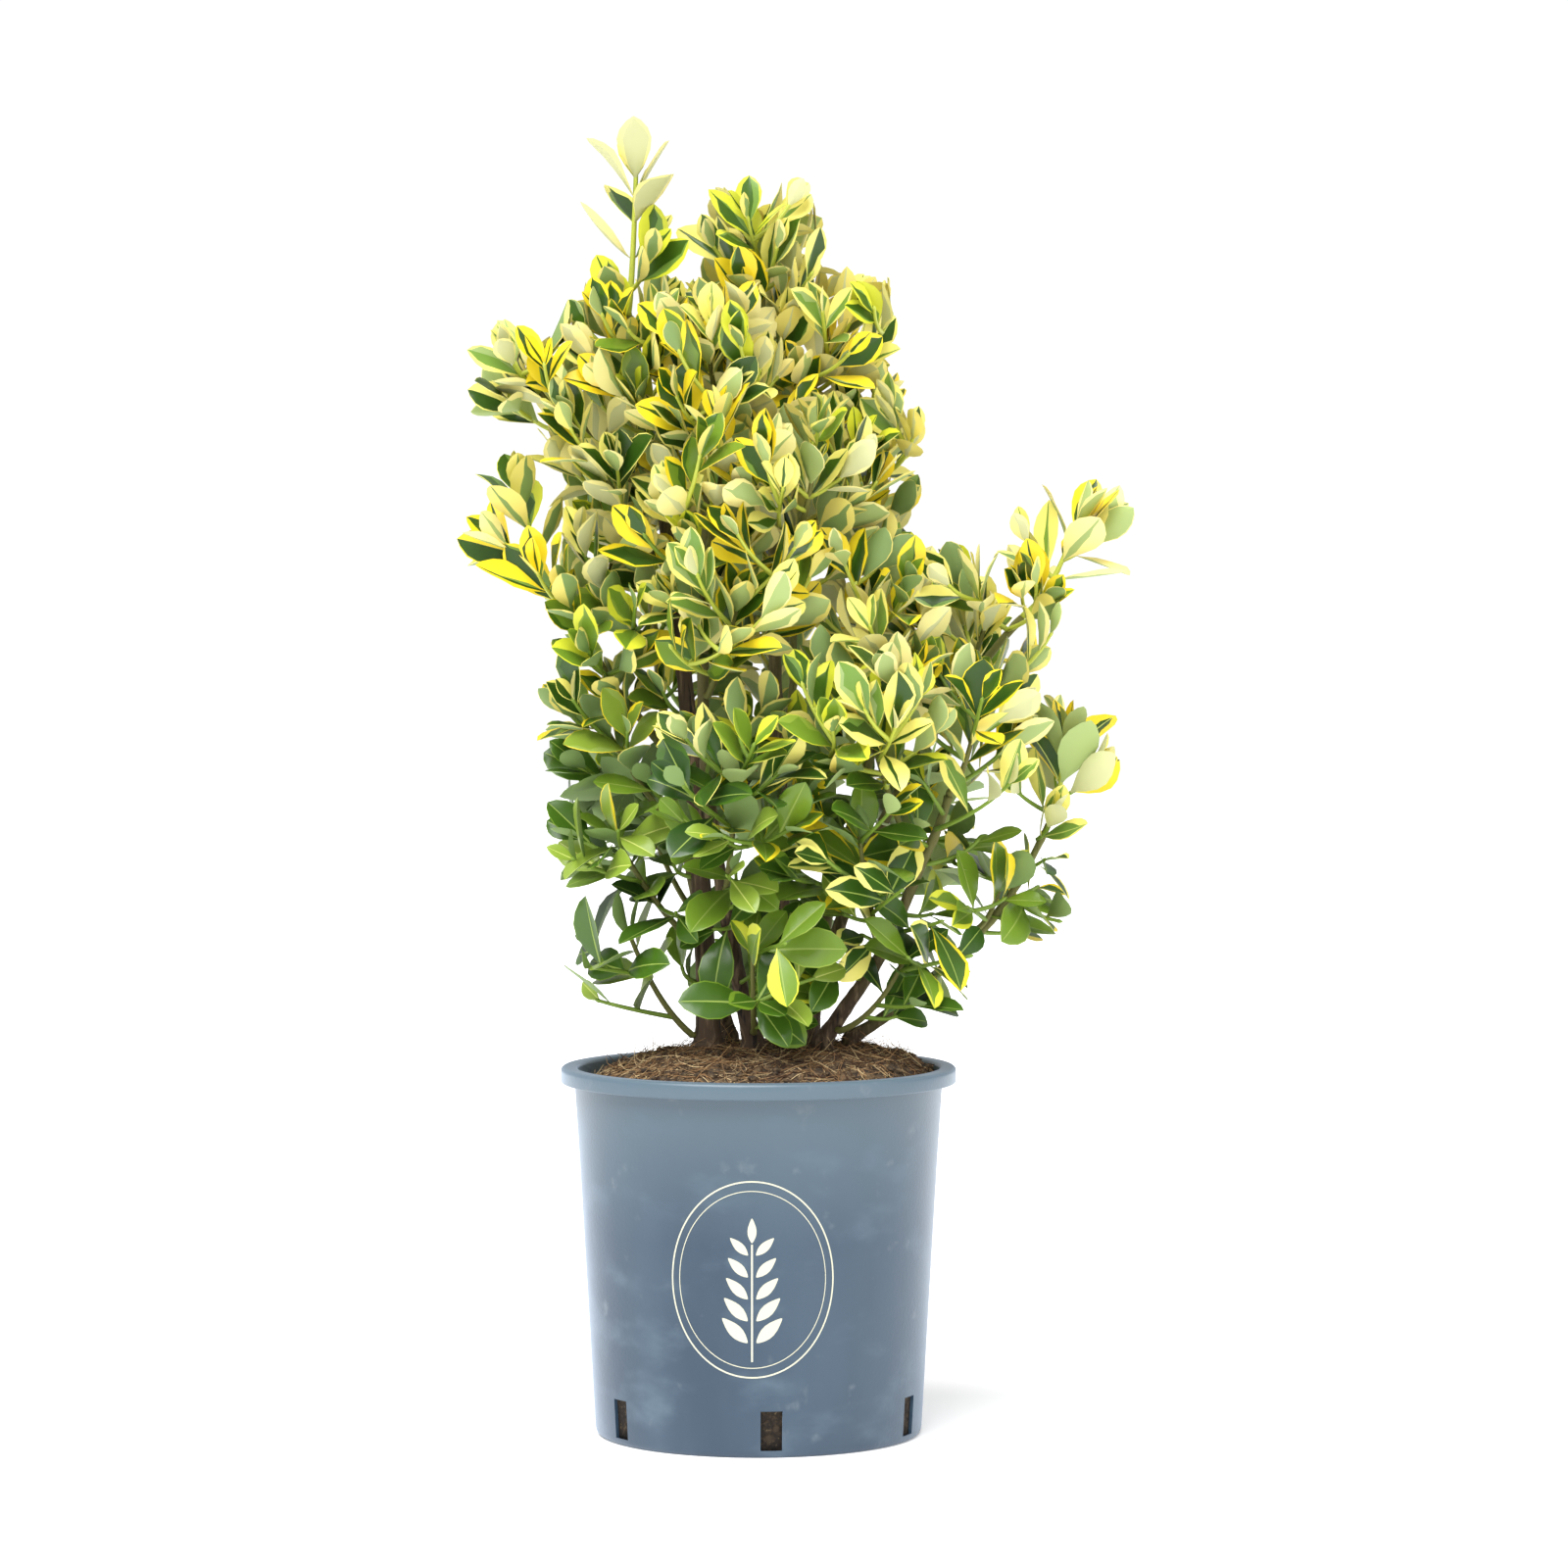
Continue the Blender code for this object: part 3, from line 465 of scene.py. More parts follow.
def turned(profile: list[Span], steps: int, start: float = 0.0) -> BMesh:
    """Spin a profile round the upright axis into a closed body.

    Args:
        profile: Its points as radius and height, from one point of the axis to another.
        steps: How many steps the turn has.
        start: Where the turn starts, in radians.

    Returns:
        The body, with its faces outwards.
    """
    shape = bmesh.new()
    corners = [shape.verts.new((radius, 0.0, height)) for radius, height in profile]
    edges = [shape.edges.new(pair) for pair in zip(corners, corners[1:])]
    bmesh.ops.rotate(shape, verts=shape.verts, matrix=Matrix.Rotation(start, 3, "Z"))
    bmesh.ops.spin(shape, geom=corners + edges, axis=Z_AXIS, angle=math.tau, steps=steps, use_merge=True)
    bmesh.ops.remove_doubles(shape, verts=shape.verts, dist=WELD)
    bmesh.ops.recalc_face_normals(shape, faces=shape.faces)
    return shape


@dataclass
class NurseryPot:
    """The tapered pot with its rolled rim, round foot and six drain slots."""

    foot_radius: float = 0.1178
    neck_radius: float = 0.1332
    wall: float = 0.0025
    floor: float = 0.0035
    floor_corner: float = 0.002
    rim_height: float = 0.0115
    rim_round: float = 0.003
    rim_bead: float = 0.0012
    rim_hollow: float = 0.0022
    neck_corner: Span = (0.0004, 0.0005)
    foot_round: float = 0.0042
    foot_ring: Span = (0.01, 0.013)
    foot_recess: float = 0.0012
    inner_heights: Span = (0.09, 0.17)
    outer_heights: Triple = (0.2, 0.13, 0.07)
    steps: int = 192
    slot_count: int = 6
    slot_first_deg: float = -85.3
    slot_steps: int = 4
    slot_foot: float = 0.0048
    slot_height: float = 0.0286
    slot_margin: float = 0.0006
    wall_share: float = 0.95
    steepest: float = 0.5
    arc_steps: int = 5
    sharp_deg: float = 40.0
    node: str = "pot"

    def __post_init__(self) -> None:
        """Read the height and the rim's radius from the frame."""
        low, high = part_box(self.node)
        self.height = high.z
        self.rim_radius = (high.x - low.x) / 2
        self.slot_top = self.slot_foot + self.slot_height

    def outer_radius(self, height: float) -> float:
        """Outer radius of the tapered wall at a height."""
        return self.foot_radius + (self.neck_radius - self.foot_radius) * height / self.height

    def arc(self, centre: Span, radius: float, first_deg: float, last_deg: float) -> list[Span]:
        """Points of an arc in the profile's plane, with its angles counted from the outward axis."""
        angles = np.radians(np.linspace(first_deg, last_deg, self.arc_steps + 1))
        return [(centre[0] + radius * math.cos(a), centre[1] + radius * math.sin(a)) for a in angles]

    def profile(self) -> list[Span]:
        """The wall's profile as radius and height, from the floor's centre up inside and down outside.

        Returns:
            The points in order.
        """
        top, low = self.height - self.rim_round, self.height - self.rim_height
        lip, bead = self.rim_radius - self.rim_round, self.rim_bead
        neck = self.outer_radius(low)
        inner = self.outer_radius(top) - self.wall
        foot = self.foot_radius - self.foot_round
        inner_heights = (self.slot_foot, self.slot_top, *self.inner_heights)
        outer_heights = (*self.outer_heights, self.slot_top, self.slot_foot + self.slot_margin)
        floor_edge = self.outer_radius(self.floor) - self.wall - self.floor_corner
        points = [(0.0, self.floor), (floor_edge, self.floor)]
        points += [(self.outer_radius(z) - self.wall, z) for z in inner_heights]
        points += self.arc((inner + self.rim_round, top), self.rim_round, 180.0, 90.0)
        points += self.arc((lip, top), self.rim_round, 90.0, 0.0)
        points += self.arc((self.rim_radius - bead, low + bead), bead, 0.0, -90.0)
        points += [(lip - bead, low), (neck + bead, low + self.rim_hollow)]
        points += [(neck + self.neck_corner[0], low - self.neck_corner[1])]
        points += [(self.outer_radius(z), z) for z in outer_heights]
        points += self.arc((foot, self.foot_round), self.foot_round, 0.0, -90.0)[1:]
        points += [(foot - self.foot_ring[0], 0.0), (foot - self.foot_ring[1], self.foot_recess)]
        return points + [(0.0, self.foot_recess)]

    def build(self) -> BMesh:
        """Spin the profile and open the slots through both walls."""
        start = math.radians(self.slot_first_deg - self.slot_steps * 180.0 / self.steps)
        shape = turned(self.profile(), self.steps, start)
        for index in range(self.slot_count):
            self.open_slot(shape, index)
        return shape

    def open_slot(self, shape: BMesh, index: int) -> None:
        """Take the wall's faces out of one slot and close the cut between the inner and the outer wall.

        Args:
            shape: The pot.
            index: Which slot, counted round from the front one.
        """
        middle = math.radians(self.slot_first_deg + index * 360.0 / self.slot_count)
        half = math.pi * self.slot_steps / self.steps
        cut = []
        for face in shape.faces:
            centre = face.calc_center_median()
            turn = math.remainder(math.atan2(centre.y, centre.x) - middle, math.tau)
            in_slot = abs(turn) < half and self.slot_foot < centre.z < self.slot_top
            on_wall = centre.xy.length > self.foot_radius * self.wall_share
            if in_slot and on_wall and abs(face.normal.z) < self.steepest:
                cut.append(face)
        sides = dict.fromkeys(edge for face in cut for edge in face.edges)
        ends = [edge for edge in sides if not all(face in cut for face in edge.link_faces)]
        bmesh.ops.delete(shape, geom=cut, context="FACES")
        bmesh.ops.bridge_loops(shape, edges=[edge for edge in ends if edge.is_valid])

    def dress(self) -> Object:
        """Build the pot, finish it and let it stand for its node."""
        piece = Piece.place(self.build(), "nursery_pot", [PlasticFinish().make()])
        piece.data.set_sharp_from_angle(angle=math.radians(self.sharp_deg))
        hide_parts(self.node)
        return piece


@dataclass
class PrintedEmblem:
    """A plain cream print on the pot's front: two ovals round a sprig of opposite leaves."""

    pot: NurseryPot
    width: float = 0.118
    height: float = 0.14
    centre_height: float = 0.127
    centre_across: float = -0.004
    outer_line: float = 0.0011
    inner_line: float = 0.0006
    inner_share: float = 0.9
    stem_length: float = 0.104
    stem_width: float = 0.0013
    stem_below: float = 0.56
    stem_share: float = 0.8
    stem_steps: int = 24
    leaf_pairs: int = 5
    first_pair: float = 0.12
    pair_span: float = 0.6
    leaf_length: float = 0.025
    leaf_width: float = 0.0066
    leaf_lean_deg: float = 46.0
    leaf_steps: int = 20
    leaf_slim: float = 0.6
    leaf_swell: float = 0.8
    leaf_skew: float = 0.8
    leaf_rise: float = 0.56
    leaf_gap: float = 1.6
    last_smaller: float = 0.3
    top_size: float = 0.7
    proud: float = 0.00012
    thickness: float = 0.0001
    ring_steps: int = 96
    strip: float = 0.004
    finish: PlainFinish = PlainFinish("print_cream", (212, 210, 188), 0.6, 0.2)

    def oval(self, shape: BMesh, share: float, line: float) -> None:
        """Add an oval line.

        Args:
            shape: The flat print.
            share: Its size as a share of the whole print.
            line: The line's width.
        """
        rings = []
        for inset in (0.0, line):
            wide, high = self.width / 2 * share - inset, self.height / 2 * share - inset
            made = bmesh.ops.create_circle(shape, segments=self.ring_steps, radius=1.0)
            bmesh.ops.scale(shape, verts=made["verts"], vec=(wide, high, 1.0))
            rings += dict.fromkeys(edge for vert in made["verts"] for edge in vert.link_edges)
        bmesh.ops.bridge_loops(shape, edges=rings)

    def blade(self, shape: BMesh, foot: Vector, turn: float, size: float) -> None:
        """Add one pointed leaf.

        Args:
            shape: The flat print.
            foot: Where it leaves the stem.
            turn: Its angle from upright, in radians.
            size: Its size as a share of the leaf's full size.
        """
        made = bmesh.ops.create_circle(shape, cap_ends=True, segments=self.leaf_steps, radius=0.5)
        wide, high = self.leaf_width * size, self.leaf_length * size
        for vert in made["verts"]:
            along = vert.co.y + 0.5
            vert.co.x *= self.leaf_slim + self.leaf_swell * math.sin(math.pi * along**self.leaf_skew)
        bmesh.ops.scale(shape, verts=made["verts"], vec=(wide, high, 1.0))
        bmesh.ops.translate(shape, verts=made["verts"], vec=(0.0, high * self.leaf_rise, 0.0))
        bmesh.ops.rotate(shape, verts=made["verts"], matrix=Matrix.Rotation(-turn, 3, "Z"))
        bmesh.ops.translate(shape, verts=made["verts"], vec=foot)

    def sprig(self, shape: BMesh) -> None:
        """Add the upright stem with its pairs of leaves and the one at its tip."""
        low, drawn = -self.stem_length * self.stem_below, self.stem_length * self.stem_share
        bar = bmesh.ops.create_grid(shape, x_segments=1, y_segments=self.stem_steps, size=0.5)
        bmesh.ops.scale(shape, verts=bar["verts"], vec=(self.stem_width, drawn, 1.0))
        bmesh.ops.translate(shape, verts=bar["verts"], vec=(0.0, low + drawn / 2, 0.0))
        lean = math.radians(self.leaf_lean_deg)
        for pair in range(self.leaf_pairs):
            share = pair / (self.leaf_pairs - 1)
            foot = low + self.stem_length * (self.first_pair + self.pair_span * share)
            for side in (-1.0, 1.0):
                place = Vector((side * self.stem_width * self.leaf_gap, foot, 0.0))
                self.blade(shape, place, side * lean, 1.0 - self.last_smaller * share)
        self.blade(shape, Vector((0.0, low + drawn, 0.0)), 0.0, self.top_size)

    def cut_strips(self, shape: BMesh) -> None:
        """Cut the flat print into upright strips, narrow enough to follow the round wall."""
        count = round(self.width / self.strip)
        for index in range(1, count):
            place = (self.width * (index / count - 0.5), 0.0, 0.0)
            parts = shape.verts[:] + shape.edges[:] + shape.faces[:]
            bmesh.ops.bisect_plane(shape, geom=parts, plane_co=place, plane_no=(1.0, 0.0, 0.0))

    def wrap(self, point: Vector) -> Vector:
        """Lay a point of the flat print on the pot's tapered wall."""
        height = self.centre_height + point.y
        radius = self.pot.outer_radius(height) + self.proud + point.z
        angle = (self.centre_across + point.x) / radius
        return Vector((radius * math.sin(angle), -radius * math.cos(angle), height))

    def dress(self) -> Object:
        """Build the print and finish it."""
        flat = bmesh.new()
        self.oval(flat, 1.0, self.outer_line)
        self.oval(flat, self.inner_share, self.inner_line)
        self.sprig(flat)
        self.cut_strips(flat)
        bmesh.ops.recalc_face_normals(flat, faces=flat.faces)
        bmesh.ops.solidify(flat, geom=flat.faces, thickness=self.thickness)
        for vert in flat.verts:
            vert.co = self.wrap(vert.co)
        bmesh.ops.recalc_face_normals(flat, faces=flat.faces)
        return Piece.place(flat, "pot_print", [self.finish.make()], smooth=False)


@dataclass
class PottingMix:
    """The potting mix, mounded round the stems, with its crumbs and fibres."""

    feet: list[tuple[Vector, float]]
    top: float = 0.28
    edge: float = 0.258
    plateau_radius: float = 0.082
    shoulder_radius: float = 0.112
    shoulder: float = 0.273
    low: float = 0.0038
    inner_neck: float = 0.13
    inner_foot: float = 0.1152
    ring_step: float = 0.0016
    steps: int = 200
    settle: float = 0.002
    clod: float = 0.00272
    clod_scale: float = 34.0
    lump_share: float = 0.5
    lump_scale: float = 90.0
    grit: float = 0.0009
    grit_scale: float = 240.0
    layers: Triple = (0.3, 1.7, 4.1)
    lean: float = 0.0075
    lean_level: float = 0.6
    heap_reach: float = 2.4
    heap: float = 0.0012
    heap_most: float = 0.0035
    fibre_count: int = 2600
    fibre_length: Span = (0.01, 0.042)
    fibre_radius: Span = (0.00022, 0.0005)
    fibre_curl: float = 2.2
    fibre_lifts: tuple[float, ...] = (0.0, 0.0, 0.12, 0.25, 0.5)
    fibre_sink: float = 0.6
    fibre_thins: float = 0.6
    fibre_points: int = 6
    fibre_sides: int = 3
    fibre_margin: float = 0.001
    crumb_count: int = 420
    crumb_size: Span = (0.0012, 0.004)
    crumb_relief: float = 0.5
    crumb_scale: float = 700.0
    crumb_spread: float = 300.0
    crumb_flat: float = 0.6
    crumb_lift: float = 0.0003
    litter_margin: float = 0.004
    crumb_margin: float = 0.005
    seed: int = 5
    node: str = "potting_mix"
    fibres: tuple[PlainFinish, ...] = (
        PlainFinish("fibre_dark", (76, 54, 40), 0.9, 0.2),
        PlainFinish("fibre_brown", (132, 104, 74), 0.9, 0.2),
        PlainFinish("fibre_tan", (160, 124, 86), 0.9, 0.2),
        PlainFinish("fibre_straw", (206, 180, 136), 0.9, 0.2),
    )
    fibre_weights: tuple[int, ...] = (5, 4, 3, 3)

    def height_at(self, x: float, y: float) -> float:
        """Height of the mix's surface under a point.

        Args:
            x: The point's place across.
            y: The point's place in depth.

        Returns:
            The height.
        """
        radius = math.hypot(x, y)
        places = (0.0, self.plateau_radius, self.shoulder_radius, self.inner_neck)
        base = float(np.interp(radius, places, (self.top, self.top, self.shoulder, self.edge)))
        scales = (self.clod_scale, self.lump_scale, self.grit_scale)
        clods, lumps, grit = (noise.noise(Vector((x, y, z)) * fine) for z, fine in zip(self.layers, scales))
        lean = self.lean * min(1.0, radius / self.inner_neck) * (x / self.inner_neck - self.lean_level)
        height = base - self.settle + lean + self.clod * (clods + self.lump_share * lumps) + self.grit * grit
        for foot, reach in self.feet:
            near = math.exp(-(((x - foot.x) ** 2 + (y - foot.y) ** 2) / (self.heap_reach * reach) ** 2))
            height += (self.top + self.heap - height) * near
        return min(height, self.top + self.heap_most)

    def build(self) -> BMesh:
        """Spin the mix's body and give its top the relief."""
        profile = [(radius, self.top) for radius in np.arange(0.0, self.inner_neck, self.ring_step)]
        profile += [(self.inner_neck, self.edge), (self.inner_foot, self.low), (0.0, self.low)]
        shape = turned(profile, self.steps)
        for vert in shape.verts:
            if vert.co.z > self.edge - WELD:
                vert.co.z = self.height_at(vert.co.x, vert.co.y)
        return shape

    def spot(self, rng: Random, margin: float) -> Vector:
        """A place on the mix at random.

        Args:
            rng: The random numbers.
            margin: How far it stays from the wall.

        Returns:
            The place, level.
        """
        radius = (self.inner_neck - margin) * math.sqrt(rng.random())
        angle = rng.uniform(0.0, math.tau)
        return Vector((radius * math.cos(angle), radius * math.sin(angle), 0.0))

    def litter(self) -> Joined:
        """Fibres that lie on the mix, some with a raised end."""
        rng = Random(self.seed)
        joined = Joined()
        last = self.fibre_points - 1
        for _ in range(self.fibre_count):
            place = self.spot(rng, self.litter_margin)
            heading = rng.uniform(0.0, math.tau)
            length = rng.uniform(*self.fibre_length)
            thick = rng.uniform(*self.fibre_radius)
            curl = rng.uniform(-self.fibre_curl, self.fibre_curl)
            lift = rng.choice(self.fibre_lifts) * rng.random()
            path = []
            for step in range(self.fibre_points):
                share = step / last
                height = self.height_at(place.x, place.y) + thick * self.fibre_sink + lift * length * share**2
                path.append((Vector((place.x, place.y, height)), thick * (1.0 - self.fibre_thins * share)))
                place = place + Vector((math.cos(heading), math.sin(heading), 0.0)) * (length / last)
                heading += curl / self.fibre_points
                if place.length > self.inner_neck - self.fibre_margin:
                    break
            if len(path) > 2:
                slot = rng.choices(range(len(self.fibres)), weights=self.fibre_weights)[0]
                add_tube(joined, path, self.fibre_sides, slot)
        return joined

    def crumbs(self) -> BMesh:
        """Small lumps half sunk in the mix."""
        rng = Random(self.seed + 1)
        shape = bmesh.new()
        for _ in range(self.crumb_count):
            place = self.spot(rng, self.crumb_margin)
            made = bmesh.ops.create_icosphere(shape, subdivisions=1, radius=rng.uniform(*self.crumb_size))
            for vert in made["verts"]:
                swell = noise.noise(vert.co * self.crumb_scale + place * self.crumb_spread)
                vert.co *= 1.0 + self.crumb_relief * swell
                vert.co.z *= self.crumb_flat
            place.z = self.height_at(place.x, place.y) + self.crumb_lift
            bmesh.ops.translate(shape, verts=made["verts"], vec=place)
        return shape

    def dress(self) -> list[Object]:
        """Build the mix, its crumbs and its fibres, and let them stand for the node."""
        finish = MixFinish().make()
        body = Piece.place(self.build(), "mix_body", [finish])
        crumbs = Piece.place(self.crumbs(), "mix_crumbs", [finish])
        fibres = self.litter().build("mix_fibres", [colour.make() for colour in self.fibres])
        for piece in (body, crumbs, fibres):
            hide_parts(self.node)
        return [body, crumbs, fibres]


def add_tube(joined: Joined, path: list[tuple[Vector, float]], sides: int, slot: int) -> None:
    """Add a closed tube along a path.

    Args:
        joined: Where it goes.
        path: Its points with their radii.
        sides: How many sides it has.
        slot: Its material slot.
    """
    points = np.array([tuple(point) for point, _ in path])
    runs = np.gradient(points, axis=0)
    runs /= np.linalg.norm(runs, axis=1, keepdims=True) + TINY
    side = np.cross(runs[0], ASKEW)
    angles = np.arange(sides) * math.tau / sides
    rings = []
    for point, (_, radius), run in zip(points, path, runs):
        side = side - run * side.dot(run)
        side /= np.linalg.norm(side) + TINY
        other = np.cross(run, side)
        rings.append(point + radius * (np.outer(np.cos(angles), side) + np.outer(np.sin(angles), other)))
    around = np.arange(sides)
    after = (around + 1) % sides
    last = (len(path) - 1) * sides
    band = np.stack([around, after, sides + after, sides + around], axis=1).ravel()
    bands = [band + low for low in range(0, last, sides)]
    sizes = np.array([4] * last + [sides, sides])
    rim = np.zeros(last + sides, bool)
    corners = np.concatenate([*bands, around[::-1], last + around])
    joined.add(np.concatenate(rings), corners, sizes, np.full(len(sizes), slot), rim)


@dataclass(frozen=True)
class WoodRule:
    """How a limb runs from its foot to its tip. The solids follow the same rule."""

    points: int = 8
    taper: float = 0.8
    wave: float = 0.0022
    wave_turn: float = 9.0
    flare_height: float = 0.014
    flare_share: float = 0.45
    flare_fall: float = 0.2
    foot_plumb: float = 0.004
    seat_plumb: float = 0.003
    mix_top: float = 0.28
    seat_gap: float = 0.0003
    seat_depth: float = 0.9
    run_step: float = 0.02
    tip_step: float = 0.03


def bezier(start: Vector, via: Vector, tip: Vector, share: float) -> Vector:
    """A point of the quadratic curve from start to tip that via bends."""
    rest = 1.0 - share
    return start * (rest * rest) + via * (2 * rest * share) + tip * (share * share)


@dataclass
class Limb:
    """One tapering stem or bough, with bark."""

    name: str
    start: Vector
    plumb: Vector
    via: Vector
    tip: Vector
    foot_radius: float
    tip_radius: float
    flare: float
    seed: int
    rule: WoodRule = WoodRule()
    sides: int = 20
    ring_step: float = 0.0035
    measures: int = 20
    ridge: float = 0.085
    ridge_scale: float = 330.0
    fibre_share: float = 0.6
    fibre_scale: float = 760.0
    ridge_stretch: float = 0.12
    core: float = 0.5
    knuckle_every: float = 0.034
    knuckle: float = 0.13
    knuckle_narrow: float = 9.0
    knuckle_radius: float = 0.003
    old_radius: Span = (0.003, 0.0052)

    def __post_init__(self) -> None:
        """Draw the wave's phase and side as the solid does."""
        rng = Random(self.seed)
        self.phase = rng.uniform(0.0, math.tau)
        turn = rng.uniform(0.0, math.tau)
        self.side = Vector((math.cos(turn), math.sin(turn), 0.0))
        self.onward = self.start + self.plumb
        marks = [self.at(index / self.measures)[0] for index in range(self.measures + 1)]
        self.length = sum((after - before).length for before, after in zip(marks, marks[1:]))

    def at(self, share: float) -> tuple[Vector, float]:
        """Centre and radius at a share of the solid's points, where 0 is the foot and 1 the tip.

        Args:
            share: The share.

        Returns:
            The centre and the radius there.
        """
        rule = self.rule
        place = share * (rule.points - 1)
        if place < 1.0:
            radius = self.foot_radius * (1.0 + self.flare * (1.0 - rule.flare_fall * place))
            return self.start.lerp(self.onward, place), radius
        along = min(1.0, (place - 1.0) / (rule.points - 2))
        swing = rule.wave * math.sin(math.pi * along) * math.sin(self.phase + rule.wave_turn * along)
        point = bezier(self.onward, self.via, self.tip, along) + self.side * swing
        radius = self.foot_radius + (self.tip_radius - self.foot_radius) * along**rule.taper
        near = math.exp(-(self.plumb.length + (point - self.onward).length) / rule.flare_height)
        return point, radius * (1.0 + self.flare * near)

    def seat(self, share: float, towards: Vector) -> tuple[Vector, Vector]:
        """Where a twig or bough leaves this limb.

        Args:
            share: Where along the limb.
            towards: The point that it heads for.

        Returns:
            A point just off the surface and the way it faces.
        """
        rule = self.rule
        if share >= 1.0:
            end = self.at(1.0)[0]
            way = (end - self.at(1.0 - rule.tip_step)[0]).normalized()
            return end + way * rule.seat_gap, way
        centre, radius = self.at(share)
        run = (self.at(min(share + rule.run_step, 1.0))[0] - centre).normalized()
        way = towards - centre
        way = (way - run * way.dot(run)).normalized()
        return centre + way * (radius * rule.seat_depth + rule.seat_gap), way

    def samples(self, spacing: float) -> list[tuple[Vector, float]]:
        """Centres and radii about a spacing apart."""
        count = max(4, int(self.length / spacing))
        return [self.at(index / count) for index in range(count + 1)]

    def build(self) -> BMesh:
        """Draw a ring out along the limb and press the bark's ridges and knuckles into it."""
        shape = bmesh.new()
        age = shape.verts.layers.float.new(BarkFinish.attribute)
        path = self.samples(self.ring_step)
        made = bmesh.ops.create_circle(shape, cap_ends=True, segments=self.sides, radius=1.0)
        ring = made["verts"]
        end = shape.faces[:][0]
        side = Vector((1.0, 0.0, 0.0))
        before = Matrix.Identity(4)
        far = 0.0
        for index, (point, radius) in enumerate(path):
            run = (path[min(index + 1, len(path) - 1)][0] - path[max(index - 1, 0)][0]).normalized()
            side = (side - run * side.dot(run)).normalized()
            now = Matrix((side, run.cross(side), run)).transposed().to_4x4()
            now.translation = point
            now = now @ Matrix.Diagonal((radius, radius, radius, 1.0))
            if index:
                grown = bmesh.ops.extrude_face_region(shape, geom=[end])["geom"]
                ring = [item for item in grown if isinstance(item, bmesh.types.BMVert)]
                if index > 1:
                    bmesh.ops.delete(shape, geom=[end], context="FACES_ONLY")
                end = next(item for item in grown if isinstance(item, bmesh.types.BMFace))
            bmesh.ops.transform(shape, matrix=now @ before.inverted(), verts=ring)
            before = now
            far += (point - path[max(index - 1, 0)][0]).length
            young, old = self.old_radius
            for vert in ring:
                vert[age] = max(0.0, min(1.0, (radius - young) / (old - young)))
        for vert in shape.verts:
            self.roughen(vert, path)
        bmesh.ops.recalc_face_normals(shape, faces=shape.faces)
        return shape

    def roughen(self, vert: bmesh.types.BMVert, path: list[tuple[Vector, float]]) -> None:
        """Move one vertex by the bark's relief.

        Args:
            vert: The vertex.
            path: The limb's centres and radii.
        """
        centre, radius = min(path, key=lambda ring: (ring[0] - vert.co).length_squared)
        away = vert.co - centre
        if away.length < radius * self.core:
            return
        place = vert.co.copy()
        place.z *= self.ridge_stretch
        ridges = noise.noise(place * self.ridge_scale)
        ridges += self.fibre_share * noise.noise(place * self.fibre_scale)
        climb = (centre - self.start).length / self.knuckle_every
        joint = math.exp(-((climb - round(climb)) * self.knuckle_narrow) ** 2)
        swell = self.knuckle * joint * min(1.0, self.knuckle_radius / radius)
        vert.co += away * (self.ridge * ridges + swell)

    def dress(self, finish: Material) -> Object:
        """Build the limb and let it stand for its node."""
        piece = Piece.place(self.build(), self.name + "_bark", [finish])
        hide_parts(self.name)
        return piece


